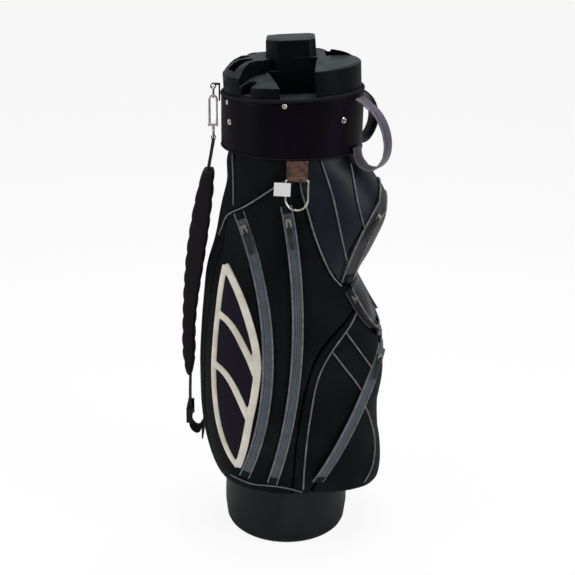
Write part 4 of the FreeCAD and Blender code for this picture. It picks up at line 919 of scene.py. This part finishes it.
cream = Finish("cream", (0.72, 0.68, 0.58), 0.5)
stain = cream.cloud(22, 5)
cream.shade(stain, 0.3, 0.75, (0.76, 0.72, 0.63), (0.56, 0.52, 0.43))
cream.bump(cream.cells(800.0, "DISTANCE_TO_EDGE") + stain * 0.6, 0.0004, 0.35)
window_mesh = Finish("window_mesh", (0.012, 0.009, 0.02), 0.8, gloss=0.12)
holes = window_mesh.cells(420.0)
window_mesh.shade(holes, 0.15, 0.4, (0.0015, 0.001, 0.003), (0.0085, 0.006, 0.0145))
window_mesh.bump(holes, 0.0008, 0.8)
LEAF_VOXEL = 1.3 * MM
LEAF_BANDS = (
    ((-113, 551), (-120, 514), (-127, 454), (-131, 411), (-134, 362), (-133, 312), (-128, 263),
     (-118, 220), (-104, 186), (-90, 166)),
    ((-113, 551), (-101, 533), (-85, 502), (-71, 464), (-60, 424), (-54, 382), (-57, 343),
     (-62, 308), (-69, 271), (-75, 233), (-83, 193), (-90, 166)),
    ((-125, 464), (-108, 457), (-92, 438), (-78, 412), (-67, 390), (-57, 363)),
    ((-132, 367), (-117, 360), (-103, 344), (-89, 318), (-79, 295), (-68, 270)))
BAND_HALF, BAND_CROWN, BAND_SUNK = 7.2, 4.3, 3.0
MESH_RISE, MESH_THICK = 1.0 * MM, 2.5 * MM
MESH_COLUMNS, MESH_ROWS, MESH_SHORT = 16, 70, 0.02


def crowned_outline(half, crown, sunk, corners=10):
    """A band's section: an arch over a flat back let into the pocket."""
    arch = [(half * math.cos(math.pi * step / corners), crown * math.sin(math.pi * step / corners))
            for step in range(corners + 1)]
    return [(half, -sunk)] + arch + [(-half, -sunk)]


leaf_outline = crowned_outline(BAND_HALF, BAND_CROWN, BAND_SUNK)
leaf = remesh(merged([drawn(laid(points, side), leaf_outline)
                      for points in LEAF_BANDS for side in (-1, 1)]), "leaf_band", LEAF_VOXEL)
smoothed(leaf, 6)
sewn(leaf, cream, "leaf_leather", "leaf_trim")


def reach_at(route, height):
    """How far along X a route that runs down the leaf has come at a height."""
    for above, below in zip(route, route[1:]):
        if above.z >= height >= below.z:
            return below.x + (above.x - below.x) * (height - below.z) / (above.z - below.z)
    return route[0].x if height > route[0].z else route[-1].x


def mesh_patch(side):
    """A leaf-shaped plate set down on one flank between the two outer bands."""
    edges = [smooth_route([(x * MM, 0, z * MM) for x, z in points], CORD_STEP)
             for points in LEAF_BANDS[:2]]
    foot, rise = edges[0][-1].z, edges[0][0].z - edges[0][-1].z
    shape = bmesh.new()
    bmesh.ops.create_grid(shape, x_segments=MESH_COLUMNS, y_segments=MESH_ROWS, size=0.5)
    for vertex in shape.verts:
        share = MESH_SHORT + (1 - 2 * MESH_SHORT) * (vertex.co.y + 0.5)
        left, right = (reach_at(edge, foot + rise * share) for edge in edges)
        spot, away = from_side(left + (right - left) * (vertex.co.x + 0.5), foot + rise * share,
                               side)
        vertex.co = spot + away * MESH_RISE
    bmesh.ops.solidify(shape, geom=shape.faces[:], thickness=MESH_THICK)
    bmesh.ops.recalc_face_normals(shape, faces=shape.faces)
    return shape


sewn(joined([mesh_patch(side) for side in (-1, 1)], "leaf_windows"), window_mesh, "leaf_mesh",
     "leaf_mesh")

# ---------------------------------------------------------------- lift handles
# Two bands of doubled leather-look cloth at the front, bowed out for a hand, with a corded edge
# along both sides of each.

HANDLE_WIDTH, HANDLE_THICK, HANDLE_STEP = 29, 3.2, 3 * MM
HANDLE_EDGE, HANDLE_CORD = 14.2, 1.7
HANDLE_TURNS = {"front": -28, "rear": 30}
handle_leather = Finish("handle_leather", (0.07, 0.055, 0.085), 0.42)
flex = handle_leather.cloud(26, 5, handle_leather.scaled(1, 1, 0.4))
handle_leather.shade(flex, 0.3, 0.75, (0.035, 0.028, 0.045), (0.09, 0.073, 0.11))
handle_leather.rough(flex * 0.2 + 0.32)
handle_leather.bump(flex + handle_leather.cloud(900, 2) * 0.4, 0.0004, 0.5)


def soft_box_outline(width, thick, corners=3):
    """A flat band's section with full round edges."""
    points = []
    for side in (1, -1):
        for index in range(corners + 1):
            turn = math.pi * (index / corners - 0.5)
            points.append((side * (width / 2 - thick / 2 + thick / 2 * math.cos(turn)),
                           side * thick / 2 * math.sin(turn)))
    return points


def in_plane(points, angle):
    """A route of (reach, height) points in an upright plane, and its normals in that plane."""
    turn = Matrix.Rotation(math.radians(angle), 3, "Z")
    route = smooth_route([(r * MM, 0, z * MM) for r, z in points], HANDLE_STEP)
    normals = []
    for index in range(len(route)):
        along = route[min(index + 1, len(route) - 1)] - route[max(index - 1, 0)]
        normals.append(turn @ Vector((-along.z, 0, along.x)).normalized())
    return [turn @ spot for spot in route], normals


front_route = [(127.3, 844), (142, 836), (162, 821), (177, 798), (184, 770), (180, 744),
               (164, 727), (144, 727), (131, 741), (127, 761)]
rear_route = [(127.3, 841), (144, 835), (162, 819), (172, 795), (170, 771), (156, 749),
              (140, 743), (130, 749), (126.8, 763)]
for place, route, finish, edge_finish in (
        ("front", front_route, handle_leather, cord_cloth),
        ("rear", rear_route, soft_leather, soft_leather)):
    node = "lift_handle_" + place
    frames = frames_along(*in_plane(route, HANDLE_TURNS[place]))
    section = soft_box_outline(HANDLE_WIDTH, HANDLE_THICK)
    band = plain_object("band_" + node, mesh_from(drawn(frames, section), node))
    sewn(band, finish, "handle_leather", node)
    edges = [drawn(frames, round_outline(side * HANDLE_EDGE, 0, HANDLE_CORD)) for side in (-1, 1)]
    sewn(joined(edges, "edge_" + node), edge_finish, "handle_leather")

# ---------------------------------------------------------------- shoulder strap
# A padded shoulder piece between a leather end, clipped to the cuff by a snap hook, and webbing
# that runs through a tri-glide buckle to a patch sewn low on the spine. The grab loop at the
# front is of the same webbing.

webbing_cloth = Finish("webbing_cloth", (0.01, 0.01, 0.011), 0.75, gloss=0.15)
twill = webbing_cloth.weave("DIAGONAL", 260.0, 0.4)
webbing_cloth.colour(webbing_cloth.blend(twill * 0.8, (0.006, 0.006, 0.007),
                                         (0.018, 0.018, 0.02)))
webbing_cloth.bump(twill, 0.0005, 0.8)
for name in ("strap_tab_upper", "strap_anchor"):
    soft_copy(name, name + "_patch", webbing_cloth, "black_webbing", 0.8, 0.15, 90)

strap_leather = Finish("strap_leather", (0.02, 0.016, 0.022), 0.45, gloss=0.3)
strap_leather.bump(strap_leather.cloud(420, 4), 0.0004, 0.5, 0.001)
soft_copy("strap_end_upper", "upper_end", strap_leather, "strap_leather", 0.8, 0.4, 60)

strap_cloth = Finish("strap_cloth", (0.008, 0.008, 0.009), 0.8, gloss=0.12)
cells = strap_cloth.cells(380.0)
strap_cloth.shade(cells, 0.1, 0.5, (0.004, 0.004, 0.005), (0.016, 0.013, 0.016))
strap_cloth.bump(cells, 0.0006, 0.7)

PAD_VOXEL = 3.5 * MM
PAD_CHANNELS = 13
CHANNEL_DEPTH = 2.4 * MM
CHANNEL_SHARPNESS = 6
PAD_SUNK = 0.4 * MM
WEBBING_VOXEL, LOOP_VOXEL = 1.2 * MM, 0.8 * MM
pad = remesh(cad_shape("strap_pad"), "shoulder_pad", PAD_VOXEL)
pad_low, pad_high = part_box("strap_pad")


def channel(vertex):
    """How far a point of the pad sinks, most where a line of quilting crosses it."""
    rise = (vertex.co.z - pad_low.z) / (pad_high.z - pad_low.z)
    pinch = abs(math.cos(rise * PAD_CHANNELS * math.pi)) ** CHANNEL_SHARPNESS
    return -vertex.normal * (CHANNEL_DEPTH * pinch + PAD_SUNK)


shifted(pad, channel)
smoothed(pad, 4)
subdivided(pad)
sewn(pad, strap_cloth, "strap_fabric", "strap_pad")
webbing = remesh(cad_shape("strap_webbing_lower"), "lower_webbing", WEBBING_VOXEL)
sewn(webbing, webbing_cloth, "black_webbing", "strap_webbing_lower")
grab = remesh(cad_shape("front_grab_loop"), "grab_loop", LOOP_VOXEL)
sewn(grab, webbing_cloth, "black_webbing", "front_grab_loop")
dress("strap_buckle", cup_plastic)

# ---------------------------------------------------------------- zip sliders and pulls
# Plated sliders stand on the tapes, and a long moulded pull hangs from the pin of each. Both keep
# their CAD shapes.

slider_metal = Finish("slider_metal", (0.45, 0.42, 0.38), 0.3, metallic=1.0)
slider_metal.rough(slider_metal.cloud(300, 3) * 0.3 + 0.15)
slider_metal.bump(slider_metal.cloud(300, 3), 0.0001, 0.3, 0.0005)
pull_rubber = Finish("pull_rubber", (0.02, 0.02, 0.022), 0.5, gloss=0.3)
pull_rubber.shade(pull_rubber.cloud(90, 3), 0.4, 0.7, (0.012, 0.012, 0.014), (0.03, 0.028, 0.03))
pull_rubber.bump(pull_rubber.cloud(700, 2), 0.0002, 0.5, 0.0006)
for name in nodes:
    if "_slider" in name:
        dress(name, slider_metal)
    if "_pull" in name:
        dress(name, pull_rubber)

# ---------------------------------------------------------------- towel tab and ring
# A folded brown leather tab sewn in under the cuff carries a nickel ring, and a blank card tag
# rides on the ring.

tab_leather = Finish("tab_leather", (0.1, 0.05, 0.03), 0.5, gloss=0.35)
rub = tab_leather.cloud(110, 5)
tab_leather.shade(rub, 0.3, 0.7, (0.035, 0.016, 0.010), (0.13, 0.065, 0.042))
tab_leather.bump(rub, 0.0005, 0.6, 0.001)
soft_copy("towel_tab", "folded_tab", tab_leather, "tab_leather", 0.8, 0.3, 80)
card = Finish("card", (0.82, 0.82, 0.83), 0.7)
card.bump(card.cloud(300, 3), 0.0002, 0.3)
ring_low, ring_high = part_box("towel_ring")
TAG_SIZE = (28 * MM, 0.7 * MM, 23 * MM)
TAG_EDGE, TAG_LEAN = 0.3 * MM, 2
TAG_BACK, TAG_OUT, TAG_DROP = 4 * MM, 1.2 * MM, 17 * MM
tag_shape = bmesh.new()
bmesh.ops.create_cube(tag_shape, size=1)
bmesh.ops.scale(tag_shape, vec=TAG_SIZE, verts=tag_shape.verts)
bmesh.ops.bevel(tag_shape, geom=tag_shape.edges[:], offset=TAG_EDGE, segments=2, profile=0.5,
                affect="EDGES", material=-1)
bmesh.ops.rotate(tag_shape, cent=(0, 0, 0), verts=tag_shape.verts,
                 matrix=Matrix.Rotation(math.radians(TAG_LEAN), 3, "Y"))
bmesh.ops.translate(tag_shape, verts=tag_shape.verts, vec=(
    ring_low.x - TAG_BACK, ring_low.y - TAG_OUT, ring_high.z - TAG_DROP))
tag = plain_object("swing_tag", mesh_from(tag_shape, "swing_tag", smooth=False))
dress(tag, card)
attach(tag, "towel_ring")
